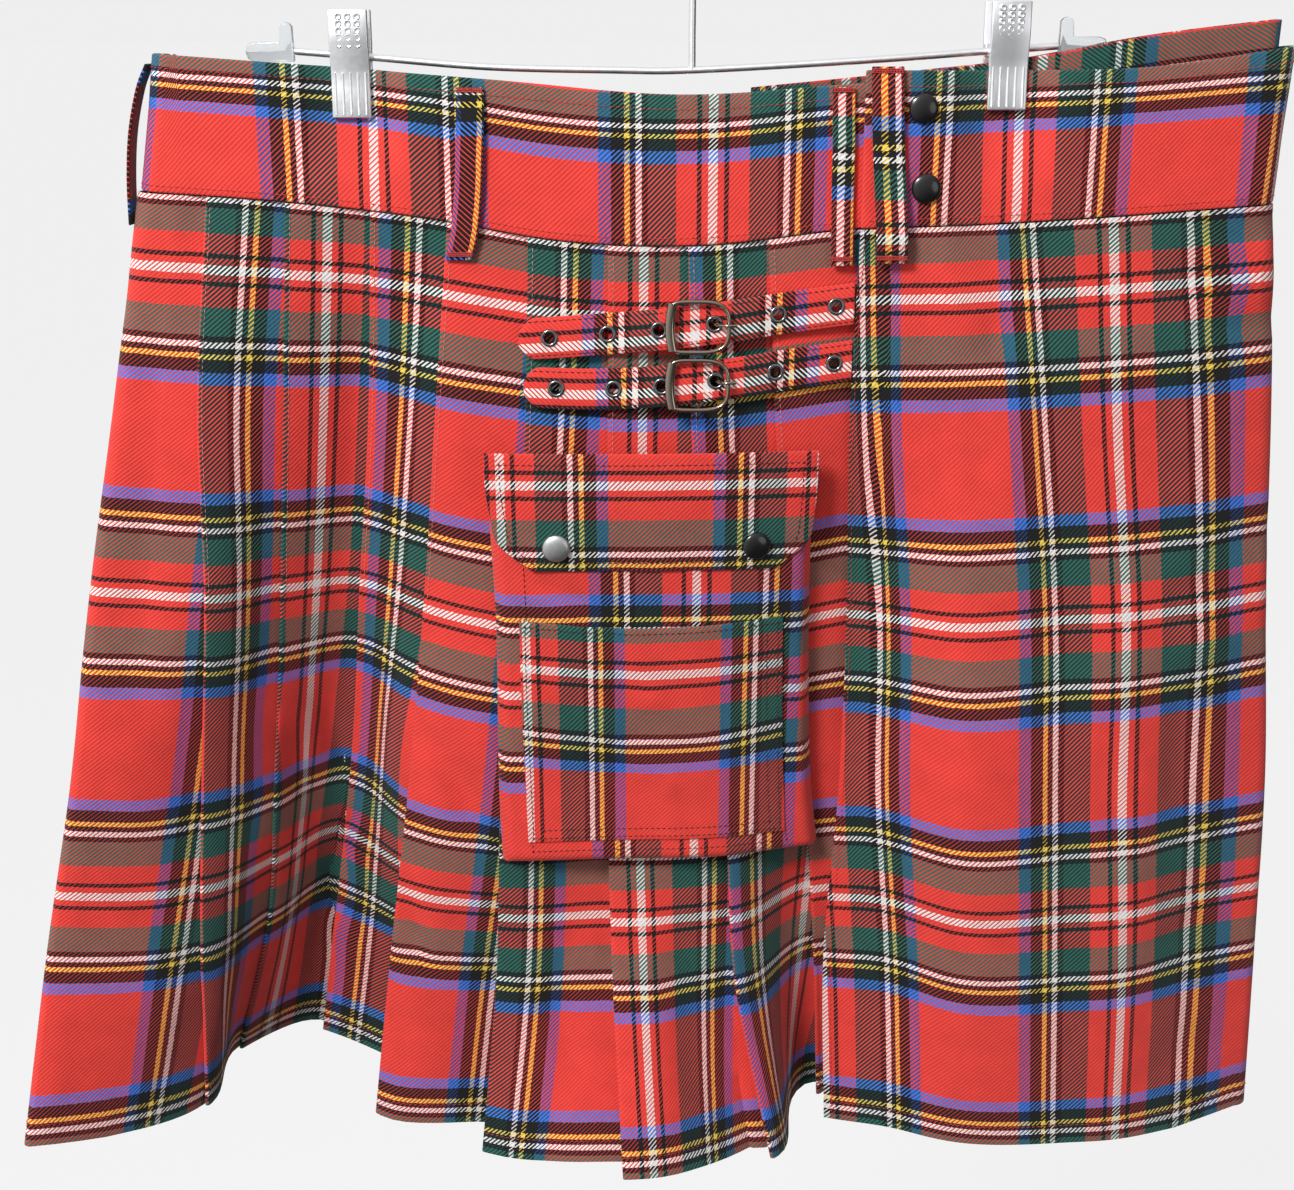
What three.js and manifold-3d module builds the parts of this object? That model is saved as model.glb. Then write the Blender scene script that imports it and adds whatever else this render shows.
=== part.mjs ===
import * as THREE from 'three';
import { mergeVertices } from 'three/addons/utils/BufferGeometryUtils.js';
import Module from 'manifold-3d';

const wasm = await Module();
wasm.setup();

// Driving dimensions, in millimetres
// The origin is the inner top of the hanger's hook. X runs to the viewer's right, Y away, Z up.
const skirtDrop = 542;
const clothWall = 1.2;
const clothGap = 0.5;
const bandWall = 3;
const seamGap = 0.3;
const hemGap = 0.35;
const pleatUnder = 22;
const rowsDown = 9;
const leftEdge = -282;
const rightEdge = 297;
const apronEdge = 86;
const bandJoin = 92.3;
const pleatPitch = clothWall + clothGap;
const clipGap = 0.3;

// Depth of each layer of cloth where it meets the waist seam
const seat = { apron: -11.5, front: -8.8, underFront: -7.5, underBack: 5.5, back: 9, backFold: 9.8 };

// Depth of each waistband layer at the seam, and where a clip squeezes the layers together
const bandDepth = {
  apron: { seam: -11.5, left: -11.5, right: -5.25 },
  front: { seam: -8, left: -1.75, right: -1.75 },
  underBack: { seam: 5.5, left: 5.5, right: 1.75 },
  back: { seam: 9, left: 1.75, right: 5.25 },
};
const clip = {
  left: { x: -170.6, rodHeight: -88.2, inner: 3.25 + clipGap, top: -66, bottom: -118 },
  right: { x: 156.8, rodHeight: -85.3, inner: 6.75 + clipGap, top: -62, bottom: -114 },
};
const squeezeFull = 13;
const squeezeEnd = 30;

// Heights along the waist, evenly spaced from x = from to x = to
const waist = {
  seam: { from: leftEdge, to: rightEdge, z: [-154, -159, -167, -179, -181, -173, -170, -165.5, -160] },
  frontTop: { from: leftEdge, to: apronEdge, z: [-86, -92.5, -99.5, -106.5, -101] },
  apronTop: { from: apronEdge, to: 300, z: [-94.7, -94.9, -93, -83] },
  underTop: { from: 30, to: rightEdge, z: [-103.5, -97, -89.5, -78, -70] },
  backTop: { from: leftEdge, to: rightEdge, z: [-90, -96, -103, -109, -111, -104, -99, -96, -88] },
};
const underHeight = 76;

// Lines down the skirt: place across (x) and depth (y) at six even steps from the seam to the hem
const lines = {
  leftFold: { x: [-282, -303, -325, -342, -364, -378], y: [0, -2, -5, -17, -24, -52] },
  leftPanel: { x: [-265, -280, -296, -311, -327, -338], y: [-8, -8, -6, -16, -20, -35] },
  front: [
    { x: [-246, -258, -263, -274, -282, -288], y: [-10, -11, -9, -2, -4, 5] },
    { x: [-206, -215, -226, -238, -251, -279], y: [-10, 0, 16, 29, 39, 60] },
    { x: [-163, -172, -185, -198, -215, -232], y: [-10, 12, 34, 59, 76, 86] },
    { x: [-124, -135, -147, -160, -175, -188], y: [-10, -5, 12, 16, 19, 13] },
    { x: [-83, -87, -96, -106, -111, -121], y: [-10, -8, 0, 6, 4, -13] },
    { x: [-42, -43, -45, -45, -42, -36], y: [-10, -8, 7, 14, -5, -49] },
    { x: [-1, 2, 11, 23, 30, 52], y: [-10, -7, 5, 13, 4, -20] },
    { x: [40, 47, 58, 70, 79, 85], y: [-10, -3, 14, 31, 38, 46] },
  ],
  frontEnd: { x: [92, 98, 105, 110, 114, 118], y: [-7, 6, 24, 30, 36, 50] },
  apron: [
    { x: [86, 85, 89, 88, 83, 86], y: [-12, -1, 15, 19, 23, 18] },
    { x: [104, 102, 107, 111, 120, 125], y: [-12, -4, 8, 14, 15, 6] },
    { x: [132, 141, 150, 155, 163, 170], y: [-12, -10, -13, -16, -12, -11] },
    { x: [173, 187, 200, 206, 213, 219], y: [-12, -10, -9, -15, -15, -15] },
    { x: [214, 225, 238, 244, 252, 256], y: [-12, -9, -10, -12, -13, -14] },
    { x: [252, 267, 279, 286, 292, 293], y: [-12, -6, -3, 0, 1, -7] },
  ],
  rightFold: { x: [297, 311, 321, 332, 337, 342], y: [-1.25, 11, 16, 17, 17, 19] },
  apronBack: [
    { x: [250, 258, 266, 274, 280, 286], y: [9, 24, 34, 42, 50, 56] },
    { x: [170, 176, 182, 188, 192, 196], y: [9, 24, 38, 50, 60, 68] },
    { x: [90, 96, 102, 108, 112, 116], y: [9, 24, 40, 56, 68, 78] },
    { x: [11, 16, 24, 32, 38, 44], y: [9, 24, 42, 58, 70, 80] },
  ],
  back: [
    { x: [-5, 0, 6, 10, 14, 18], y: [10, 24, 42, 58, 70, 79] },
    { x: [-45, -44, -42, -40, -38, -36], y: [10, 22, 38, 52, 62, 74] },
    { x: [-85, -88, -90, -92, -93, -94], y: [10, 20, 36, 48, 58, 72] },
    { x: [-125, -130, -136, -142, -147, -152], y: [10, 22, 38, 54, 66, 80] },
    { x: [-165, -172, -182, -192, -202, -210], y: [10, 26, 48, 72, 90, 100] },
    { x: [-205, -216, -228, -240, -252, -264], y: [10, 24, 42, 62, 86, 108] },
    { x: [-245, -258, -272, -288, -302, -318], y: [10, 16, 22, 30, 40, 52] },
  ],
  underFront: [
    { x: [150, 165, 178, 186, 190, 195], y: [-7.5, -4, 0, 4, 10, 14] },
    { x: [230, 240, 250, 256, 260, 262], y: [-7.5, -3, 1, 4, 5, 8] },
  ],
  underFold: { x: [291, 302, 312, 322, 326, 329], y: [-1, 8.5, 15, 16, 16, 18] },
  underBack: [
    { x: [225, 235, 245, 252, 256, 258], y: [5.5, 15, 21, 25, 29, 34] },
    { x: [150, 155, 160, 165, 168, 170], y: [5.5, 15, 26, 36, 44, 52] },
    { x: [30, 32, 36, 40, 44, 46], y: [5.5, 15, 30, 46, 56, 64] },
  ],
};
const foldRadius = {
  left: { seam: 8.9, hem: 4 },
  right: { seam: 10.25, hem: 8 },
  under: { seam: 6, hem: 3 },
};

// Smooth value between evenly spaced numbers, at t from 0 to 1
function between(values, t) {
  const last = values.length - 1;
  const place = Math.min(Math.max(t, 0), 1) * last;
  const i = Math.min(Math.floor(place), last - 1);
  const s = place - i;
  const b = values[i];
  const c = values[i + 1];
  const a = i > 0 ? values[i - 1] : 2 * b - c;
  const d = i + 2 <= last ? values[i + 2] : 2 * c - b;
  return 0.5 * (2 * b + (c - a) * s + (2 * a - 5 * b + 4 * c - d) * s * s + (3 * b - a - 3 * c + d) * s ** 3);
}

function heightAt(row, x) {
  return between(row.z, (x - row.from) / (row.to - row.from));
}

const mix = (a, b, t) => a + (b - a) * t;

// Place of a line at t, with its depth at the seam set to its layer's seat
function at(line, t, seamDepth = line.y[0]) {
  return { x: between(line.x, t), y: between([seamDepth, ...line.y.slice(1)], t) };
}

const toward = (p, q) => {
  const length = Math.hypot(q.x - p.x, q.y - p.y);
  return { x: (q.x - p.x) / length, y: (q.y - p.y) / length };
};

// Knife pleats: each right-hand panel lies over the left-hand one, with two hidden layers under its fold
function pleats(start, folds, end) {
  const radius = pleatPitch / 2;
  let path = [end];
  let target = end;
  for (let i = folds.length - 1; i >= 0; i -= 1) {
    const fold = folds[i];
    const along = toward(fold, target);
    const before = toward(i > 0 ? folds[i - 1] : start, fold);
    const turn = before.x * along.y - before.y * along.x;
    const slack = turn < 0 ? -turn * 2 * pleatPitch : 0;
    const place = (right, behind) => ({
      x: fold.x + along.x * right - along.y * behind,
      y: fold.y + along.y * right + along.x * behind,
    });
    const corner = place(-slack, 2 * pleatPitch);
    path = [
      corner,
      place(pleatUnder, 2 * pleatPitch),
      place(pleatUnder + radius, 1.5 * pleatPitch),
      place(pleatUnder, pleatPitch),
      place(radius, pleatPitch),
      place(0, radius),
      place(radius, 0),
      ...path,
    ];
    target = corner;
  }
  return path;
}

// Round end of a flattened tube: points from angle first to angle last about the fold's tip
function turnPoints(tip, radius, side, first, last, count) {
  return Array.from({ length: count }, (_, i) => {
    const angle = THREE.MathUtils.degToRad(mix(first, last, i / (count - 1)));
    return { x: tip.x - side * radius * (1 - Math.cos(angle)), y: tip.y + radius * Math.sin(angle) };
  });
}

const radiusAt = (fold, t) => mix(fold.seam, fold.hem, t);

function smoothPath(points, steps) {
  const xs = points.map((p) => p.x);
  const ys = points.map((p) => p.y);
  const count = (points.length - 1) * steps;
  return Array.from({ length: count + 1 }, (_, i) => ({ x: between(xs, i / count), y: between(ys, i / count) }));
}

// Side seam behind the left fold, a given reach from the fold's round end
const sideSeamReach = 6;

function sideSeam(t, reach) {
  const tip = at(lines.leftFold, t);
  const radius = radiusAt(foldRadius.left, t);
  const behind = { x: tip.x + radius, y: tip.y + radius };
  const along = toward(behind, at(lines.back[lines.back.length - 1], t, seat.backFold));
  return { x: behind.x + along.x * reach, y: behind.y + along.y * reach };
}

// Paths across the skirt at t, from the seam (0) to the hem (1)
function frontPath(t) {
  const turn = turnPoints(at(lines.leftFold, t), radiusAt(foldRadius.left, t), -1, 90, -90, 5);
  const panel = at(lines.leftPanel, t, seat.front);
  const folds = lines.front.map((line) => at(line, t, seat.front));
  return [sideSeam(t, sideSeamReach), ...turn, panel, ...pleats(panel, folds, at(lines.frontEnd, t))];
}

function apronPath(t) {
  const front = smoothPath(lines.apron.map((line) => at(line, t, seat.apron)), 2);
  const turn = turnPoints(at(lines.rightFold, t), radiusAt(foldRadius.right, t), 1, -90, 90, 5);
  const back = smoothPath(lines.apronBack.map((line) => at(line, t, seat.back)), 2);
  return [...front, ...turn, ...back];
}

function underApronPath(t) {
  const start = at(lines.frontEnd, t);
  start.x += 2 * seamGap;
  const front = smoothPath([start, ...lines.underFront.map((line) => at(line, t, seat.underFront))], 3);
  const turn = turnPoints(at(lines.underFold, t), radiusAt(foldRadius.under, t), 1, -90, 90, 5);
  const back = smoothPath(lines.underBack.map((line) => at(line, t, seat.underBack)), 3);
  return [...front, ...turn, ...back];
}

// The back is pleated as seen from behind, so its points are turned half round before and after
function backPath(t) {
  const behind = (p) => ({ x: -p.x, y: -p.y });
  const start = at(lines.apronBack[3], t, seat.back);
  start.x -= seamGap;
  const folds = lines.back.map((line) => at(line, t, seat.backFold));
  const end = sideSeam(t, sideSeamReach + 1.5 * seamGap);
  const path = pleats(behind(start), folds.map(behind), behind(end)).map(behind);
  return [start, ...path];
}

// Rows of centre points down the cloth, which keeps its length: what it moves sideways it loses in height
function hangCloth(pathAt, topAt) {
  const rows = [];
  const step = skirtDrop / rowsDown;
  for (let r = 0; r <= rowsDown; r += 1) {
    const path = pathAt(r / rowsDown);
    const above = rows[r - 1];
    rows.push(path.map((p, c) => {
      if (!above) return new THREE.Vector3(p.x, p.y, topAt(p.x) - hemGap);
      const side = (p.x - above[c].x) ** 2 + (p.y - above[c].y) ** 2;
      return new THREE.Vector3(p.x, p.y, above[c].z - Math.sqrt(Math.max(step * step - side, 1)));
    }));
  }
  return rows;
}

// Closed wall of a given thickness about rows of centre points
function wall(rows, thickness) {
  const down = rows.length;
  const across = rows[0].length;
  const front = [];
  const back = [];
  const direction = (a, b) => new THREE.Vector3().subVectors(b, a).normalize();
  rows.forEach((row, r) => row.forEach((p, c) => {
    const before = direction(row[Math.max(c - 1, 0)], row[Math.min(Math.max(c, 1), across - 1)]);
    const after = direction(row[Math.min(c, across - 2)], row[Math.min(c + 1, across - 1)]);
    const fall = direction(rows[Math.max(r - 1, 0)][c], rows[Math.min(r + 1, down - 1)][c]);
    const side = before.clone().add(after).normalize();
    const miter = Math.min(1 / Math.max(side.dot(before), 0.6), 1.5);
    const normal = new THREE.Vector3().crossVectors(side, fall).normalize();
    normal.multiplyScalar(miter * thickness / 2);
    front.push(p.clone().add(normal));
    back.push(p.clone().sub(normal));
  }));
  const points = [...front, ...back];
  const half = front.length;
  const index = [];
  const quad = (a, b, c, d) => index.push(a, b, c, a, c, d);
  for (let r = 0; r + 1 < down; r += 1) {
    for (let c = 0; c + 1 < across; c += 1) {
      const a = r * across + c;
      quad(a, a + 1, a + across + 1, a + across);
      quad(half + a, half + a + across, half + a + across + 1, half + a + 1);
    }
  }
  const edge = (a, b) => quad(b, a, half + a, half + b);
  for (let c = 0; c + 1 < across; c += 1) {
    edge(c, c + 1);
    edge((down - 1) * across + c + 1, (down - 1) * across + c);
  }
  for (let r = 0; r + 1 < down; r += 1) {
    edge((r + 1) * across, r * across);
    edge(r * across + across - 1, (r + 1) * across + across - 1);
  }
  return facingOut(points, index);
}

// Geometry from points and triangles, turned so that its faces point out
function facingOut(points, index) {
  let volume = 0;
  const cross = new THREE.Vector3();
  for (let i = 0; i < index.length; i += 3) {
    cross.crossVectors(points[index[i + 1]], points[index[i + 2]]);
    volume += points[index[i]].dot(cross);
  }
  if (volume < 0) index.reverse();
  const geometry = new THREE.BufferGeometry();
  geometry.setAttribute('position', new THREE.Float32BufferAttribute(points.flatMap((p) => [p.x, p.y, p.z]), 3));
  geometry.setIndex(index);
  return geometry;
}

// Joining and cutting of closed solids
function toSolid(geometry) {
  const bare = geometry.clone();
  bare.deleteAttribute('normal');
  bare.deleteAttribute('uv');
  const merged = mergeVertices(bare, 1e-4);
  return new wasm.Manifold(new wasm.Mesh({
    numProp: 3,
    vertProperties: new Float32Array(merged.attributes.position.array),
    triVerts: new Uint32Array(merged.index.array),
  }));
}

function fromSolid(solid) {
  const mesh = solid.getMesh();
  const geometry = new THREE.BufferGeometry();
  geometry.setAttribute('position', new THREE.BufferAttribute(new Float32Array(mesh.vertProperties), 3));
  geometry.setIndex(new THREE.BufferAttribute(new Uint32Array(mesh.triVerts), 1));
  return geometry;
}

const join = (...shapes) => fromSolid(shapes.map(toSolid).reduce((sum, shape) => sum.add(shape)));
const cut = (shape, ...tools) => fromSolid(tools.map(toSolid).reduce((rest, tool) => rest.subtract(tool), toSolid(shape)));

// Waistbands
const bandRows = [
  { s: 0, squeeze: 1 },
  { s: 0.35, squeeze: 1 },
  { s: 0.55, squeeze: 0.55 },
  { s: 0.78, squeeze: 0.08 },
  { s: 1, squeeze: 0 },
];

function bandY(layer, x, fade) {
  const depth = bandDepth[layer];
  const squeeze = (middle) => {
    const away = (squeezeEnd - Math.abs(x - middle)) / (squeezeEnd - squeezeFull);
    return fade * THREE.MathUtils.smoothstep(away, 0, 1);
  };
  const left = squeeze(clip.left.x) * (depth.left - depth.seam);
  const right = squeeze(clip.right.x) * (depth.right - depth.seam);
  return depth.seam + left + right;
}

function bandStops(from, to) {
  const spacing = 25;
  const low = Math.min(from, to);
  const high = Math.max(from, to);
  const count = Math.ceil((high - low) / spacing);
  const clipStops = [-squeezeEnd, -21, -squeezeFull, squeezeFull, 21, squeezeEnd];
  const nearClip = (x) => [clip.left.x, clip.right.x].some((middle) => Math.abs(x - middle) < squeezeEnd + 6);
  const even = Array.from({ length: count - 1 }, (_, i) => mix(low, high, (i + 1) / count)).filter((x) => !nearClip(x));
  const squeezed = [clip.left.x, clip.right.x].flatMap((middle) => clipStops.map((offset) => middle + offset));
  const inside = squeezed.filter((x) => x > low + 4 && x < high - 4);
  const stops = [low, ...even, ...inside, high].sort((a, b) => a - b);
  return from < to ? stops : stops.reverse();
}

// Inner rows of every band lie at shared heights, so that the layers never cross
function bandWallOf(pathAt, topAt, bottomAt) {
  return wall(bandRows.map((row) => pathAt(row).map((p) => {
    const shared = mix(heightAt(waist.backTop, p.x), seamAt(p.x), row.s);
    const ownEdge = { 0: topAt(p.x), 1: bottomAt(p.x) + hemGap };
    return new THREE.Vector3(p.x, p.y, ownEdge[row.s] ?? shared);
  })), bandWall);
}

const bandRun = (layer, from, to, row) => bandStops(from, to).map((x) => ({ x, y: bandY(layer, x, row.squeeze) }));
const bandFold = {
  left: { radius: 8.5, depth: 0.5, top: -270, seam: -281 },
  right: { radius: 10.25, depth: -1.25, top: 300.5, seam: 297 },
  under: { radius: 6.75, depth: -1.25, top: 292.5, seam: 289.5 },
};

function foldTip(name, row, side) {
  const fold = bandFold[name];
  return { x: mix(fold.top, fold.seam, row.s) - side * bandWall / 2, y: fold.depth };
}

const seamAt = (x) => heightAt(waist.seam, x);
const underSeamAt = (x) => heightAt(waist.underTop, x) - underHeight;

function waistbandFront() {
  const path = (row) => {
    const turn = turnPoints(foldTip('left', row, -1), bandFold.left.radius, -1, 90, -90, 7);
    return [...turn, ...bandRun('front', -256, bandJoin, row)];
  };
  return bandWallOf(path, (x) => heightAt(waist.frontTop, x), seamAt);
}

function waistbandApron() {
  const path = (row) => {
    const turn = turnPoints(foldTip('right', row, 1), bandFold.right.radius, 1, -90, 90, 7);
    return [...bandRun('apron', apronEdge, 275, row), ...turn];
  };
  return bandWallOf(path, (x) => heightAt(waist.apronTop, x), seamAt);
}

function waistbandBack() {
  const path = (row) => {
    const right = foldTip('right', row, 1).x - bandFold.right.radius - 2 * seamGap;
    const left = foldTip('left', row, -1).x + bandFold.left.radius + 2 * seamGap;
    const run = bandRun('back', 275, -256, row);
    return [{ x: right, y: bandDepth.back.seam }, ...run, { x: left, y: bandDepth.back.seam }];
  };
  return bandWallOf(path, (x) => heightAt(waist.backTop, x), seamAt);
}

function waistbandUnder() {
  const path = (row) => {
    const turn = turnPoints(foldTip('under', row, 1), bandFold.under.radius, 1, -90, 90, 7);
    return [
      ...bandRun('front', bandJoin + seamGap, 272, row),
      ...turn,
      ...bandRun('underBack', 272, 30, row),
    ];
  };
  return bandWallOf(path, (x) => heightAt(waist.underTop, x), underSeamAt);
}

// Front face of the pleated skirt at a place across and a height
function skirtFace(x, z) {
  const t = Math.max(seamAt(x) - z, 0) / skirtDrop;
  const places = [...lines.front.slice(2), lines.frontEnd].map((line) => at(line, t, seat.front));
  const beyond = places.findIndex((p) => p.x > x);
  const i = beyond < 0 ? places.length - 1 : Math.max(beyond, 1);
  const a = places[i - 1];
  const b = places[i];
  return mix(a.y, b.y, (x - a.x) / (b.x - a.x)) - clothWall / 2;
}

// Smooth depth of the same panels, for what hangs over several pleats
function panelFace(x, z) {
  const samples = [-30, -15, 0, 15, 30].map((offset) => skirtFace(Math.min(x + offset, 84), z));
  return samples.reduce((sum, y) => sum + y, 0) / samples.length - 1.2;
}

// Belt loops: a strip with rows of place, half width, depth and height
const loopWall = 1.6;
const loops = {
  belt_loop_left: { x: [-111, -110.8, -111.5, -113, -115.5, -119], half: 7, z: [-103, -112, -130, -155, -175, -188], lift: [0, 1, 2.2, 2, 1.4, 0.3] },
  belt_loop_centre: { x: [75.5, 75.5, 76, 76.2, 76.6, 77], half: 5.6, z: [-103, -112, -130, -155, -175, -191], lift: [0, 1, 1.8, 1.6, 1.2, 0.3] },
  belt_loop_apron: { x: [96.5, 96.8, 98, 99.8, 101, 101.8], half: 8, z: [-93, -106, -130, -155, -176, -189], lift: [0, 2.2, 2, 3.5, 6.5, 2.5] },
};

function frontLoop(name) {
  const row = loops[name];
  const face = name === 'belt_loop_apron' ? bandDepth.apron.seam : bandDepth.front.seam;
  const steps = 10;
  const rows = Array.from({ length: steps + 1 }, (_, i) => {
    const t = i / steps;
    const x = between(row.x, t);
    const y = face - bandWall / 2 - seamGap - loopWall / 2 - between(row.lift, t);
    const z = between(row.z, t);
    return [-1, 0, 1].map((side) => new THREE.Vector3(x + side * row.half, y - 0.4 * (1 - side * side), z));
  });
  return wall(rows, loopWall);
}

const sideLoop = { x: [-271.9, -277.5, -283, -285.8, -286.7], z: [-92, -104, -125, -148, -171], half: 7 };

function foldLoop() {
  const steps = 8;
  const rows = Array.from({ length: steps + 1 }, (_, i) => {
    const t = i / steps;
    const x = between(sideLoop.x, t);
    return [1, -1].map((side) => new THREE.Vector3(x, bandFold.left.depth + side * sideLoop.half, between(sideLoop.z, t)));
  });
  return wall(rows, loopWall);
}

const backLoopLift = [0, 1.4, 2.2, 2.2, 1.4, 0];

function backLoop(x) {
  const half = 7;
  const top = heightAt(waist.backTop, x) - 1;
  const bottom = seamAt(x) + 2;
  const steps = 8;
  const rows = Array.from({ length: steps + 1 }, (_, i) => {
    const lift = between(backLoopLift, i / steps);
    const y = bandDepth.back.seam + bandWall / 2 + seamGap + loopWall / 2 + lift;
    return [half, -half].map((side) => new THREE.Vector3(x + side, y, mix(top, bottom, i / steps)));
  });
  return wall(rows, loopWall);
}

// Straps: middle line in x and z, with eyelets along it and a pointed tip at the left
const strap = { half: 10.8, wall: 2, tip: 9, lift: 3.4, seated: 0.5 };
const straps = {
  upper: { left: -89, right: 84.6, z: [-228.7, -225.8, -221.8, -216.2, -210.6], eyelets: [-73, -43, -16.5, 12, 45, 75] },
  lower: { left: -87, right: 84.6, z: [-253.6, -254.4, -251.2, -246.2, -240.6], eyelets: [-70, -40, -15, 13, 44, 75] },
};
const buckleX = 4;

function strapZ(row, x) {
  return between(row.z, (x - row.left) / (row.right - row.left));
}

// Middle depth of a strap: it lies on the pleats and rises over the buckle's bar
function strapY(x, z) {
  const near = THREE.MathUtils.smoothstep(Math.abs(x - buckleX), 14, 52);
  const lift = mix(strap.lift, strap.seated, near);
  return panelFace(x, z) - lift - strap.wall / 2;
}

function strapWall(row) {
  const steps = 12;
  const rows = Array.from({ length: steps + 1 }, (_, i) => {
    const x = mix(row.left, row.right, i / steps);
    const z = strapZ(row, x);
    const half = strap.half * (i === 0 ? 0.3 : 1);
    const shift = i === 1 ? strap.tip - (row.right - row.left) / steps : 0;
    return [-1, 1].map((side) => new THREE.Vector3(x + shift, strapY(x, z), z + side * half));
  });
  return wall(rows, strap.wall);
}

const eyelet = { hole: 2.5, barrel: 2.9, rim: 4.5, clearance: 3.4, lift: 0.45 };

function drill(x, y, z, radius) {
  const tool = new THREE.CylinderGeometry(radius, radius, 12, 16);
  tool.translate(x, y, z);
  return tool;
}

function strapGeometry(row) {
  const holes = row.eyelets.map((x) => drill(x, strapY(x, strapZ(row, x)), strapZ(row, x), eyelet.clearance));
  return cut(strapWall(row), ...holes);
}

// Turn about Z that lays a round part flat on a face
function tilt(faceAt, x, z) {
  return Math.atan2(faceAt(x + 5, z) - faceAt(x - 5, z), 10);
}

// Turned parts, with their axis along Y and their front towards the viewer
function turned(profile, segments = 16) {
  return new THREE.LatheGeometry(profile.map(([r, y]) => new THREE.Vector2(r, y)), segments);
}

function eyeletGeometry() {
  const face = -strap.wall / 2;
  return turned([
    [eyelet.hole, 1],
    [eyelet.barrel, 1],
    [eyelet.barrel, face - eyelet.lift],
    [eyelet.rim, face - eyelet.lift],
    [eyelet.rim - 0.5, face - eyelet.lift - 0.8],
    [eyelet.hole + 0.4, face - eyelet.lift - 0.9],
    [eyelet.hole, 1],
  ].reverse(), 12);
}

const snap = { radius: 7.4, height: 3 };

function snapGeometry() {
  const r = snap.radius;
  const h = snap.height;
  return turned([[0, 0], [r, 0], [r, -0.9], [r * 0.85, -0.62 * h], [r * 0.5, -0.9 * h], [0, -h]].reverse(), 20);
}

// Tubes: an open one between two ends, and a closed ring
function tube(points, radius, steps, sides = 8) {
  const curve = new THREE.CatmullRomCurve3(points.map((p) => new THREE.Vector3(...p)));
  const outline = new THREE.Shape();
  outline.absarc(0, 0, radius, 0, Math.PI * 2, false);
  const settings = { steps, curveSegments: sides / 2, extrudePath: curve, bevelEnabled: false };
  return new THREE.ExtrudeGeometry(outline, settings);
}

function ring(centreAt, radius, steps, sides = 8) {
  const points = [];
  const index = [];
  for (let i = 0; i < steps; i += 1) {
    const centre = centreAt(i / steps);
    const next = centreAt((i + 0.01) / steps);
    const out = new THREE.Vector3().subVectors(next, centre).cross(new THREE.Vector3(0, 1, 0)).normalize();
    for (let k = 0; k < sides; k += 1) {
      const angle = (k / sides) * Math.PI * 2;
      const offset = out.clone().multiplyScalar(radius * Math.cos(angle));
      offset.y += radius * Math.sin(angle);
      points.push(centre.clone().add(offset));
      const a = i * sides + k;
      const b = i * sides + ((k + 1) % sides);
      const c = ((i + 1) % steps) * sides + ((k + 1) % sides);
      const d = ((i + 1) % steps) * sides + k;
      index.push(a, b, c, a, c, d);
    }
  }
  return facingOut(points, index);
}

// Buckles: a D of wire with a wide left bar, and a hidden bar that dips behind the strap
const buckle = { left: -16, right: 15.5, half: 13, wire: 1.4, barWide: 3, front: 4.6, bar: 1 };
const buckleZ = { upper: -221.2, lower: -251.4 };

function buckleGeometry(z, y) {
  const front = y - buckle.front;
  const behind = y + strap.wall / 2 + seamGap + buckle.bar;
  const outline = (t) => {
    const angle = t * Math.PI * 2;
    const c = Math.cos(angle);
    const s = Math.sin(angle);
    const reach = c > 0 ? buckle.right : -buckle.left;
    const power = c > 0 ? 0.75 : 0.25;
    const x = buckleX + Math.sign(c) * reach * Math.abs(c) ** power;
    return new THREE.Vector3(x, front, z + Math.sign(s) * buckle.half * Math.abs(s) ** 0.5);
  };
  const frame = ring(outline, buckle.wire, 28);
  const wideBar = new THREE.CylinderGeometry(buckle.wire + 0.2, buckle.wire + 0.2, 2 * buckle.half + 1, 12);
  wideBar.rotateX(Math.PI / 2);
  wideBar.scale(buckle.barWide / buckle.wire, 1, 1);
  wideBar.translate(buckleX + buckle.left + 1.2, front, z);
  const legs = [-1, 1].map((side) => {
    const leg = new THREE.CylinderGeometry(buckle.bar, buckle.bar, behind - front + buckle.bar, 8);
    leg.translate(buckleX, (front + behind) / 2, z + side * (buckle.half - 0.4));
    return leg;
  });
  const middle = new THREE.CylinderGeometry(buckle.bar, buckle.bar, 2 * buckle.half - 0.2, 8);
  middle.rotateX(Math.PI / 2);
  middle.translate(buckleX, behind, z);
  return join(frame, wideBar, ...legs, middle);
}

function prongGeometry(row, z, y) {
  const hole = row.eyelets[3];
  const holeY = strapY(hole, z);
  const radius = 0.75;
  const rim = y - buckle.front - buckle.wire - seamGap - radius;
  return tube([
    [buckleX + buckle.bar + 1.2, y + strap.wall / 2 + seamGap + radius + 0.3, z],
    [hole - 2.6, holeY + strap.wall / 2 + seamGap + radius + 0.1, z],
    [hole - 0.9, holeY + 1, z],
    [hole, holeY - 0.8, z],
    [hole + 1.1, holeY - 2.9, z],
    [buckleX + buckle.right - 1.5, rim, z],
    [buckleX + buckle.right + 4, rim, z],
  ], radius, 18, 6);
}

// Pocket: rows give the left and right edge at each height; its front stands off the pleats
const pocket = { depth: 11, snapLift: 1.1, seat: 1.4, wall: 1.6, patchWall: 1.4, flapWall: 1.6 };
const bag = { z: [-296, -321, -388, -460, -500, -532], left: [-106, -107, -105, -106, -106, -105], right: [66, 66, 67, 70, 73, 77] };
const patch = { z: [-382, -430, -480, -517], left: [-92, -92, -91, -90], right: [52, 53, 55, 57], sag: 5 };
const flap = { z: [-287, -305, -322, -338, -353], left: [-108, -108, -106, -102, -84], right: [68, 68, 67, 64, 47] };

function pocketFront(x, z) {
  return panelFace(x, z) - pocket.depth;
}

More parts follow.
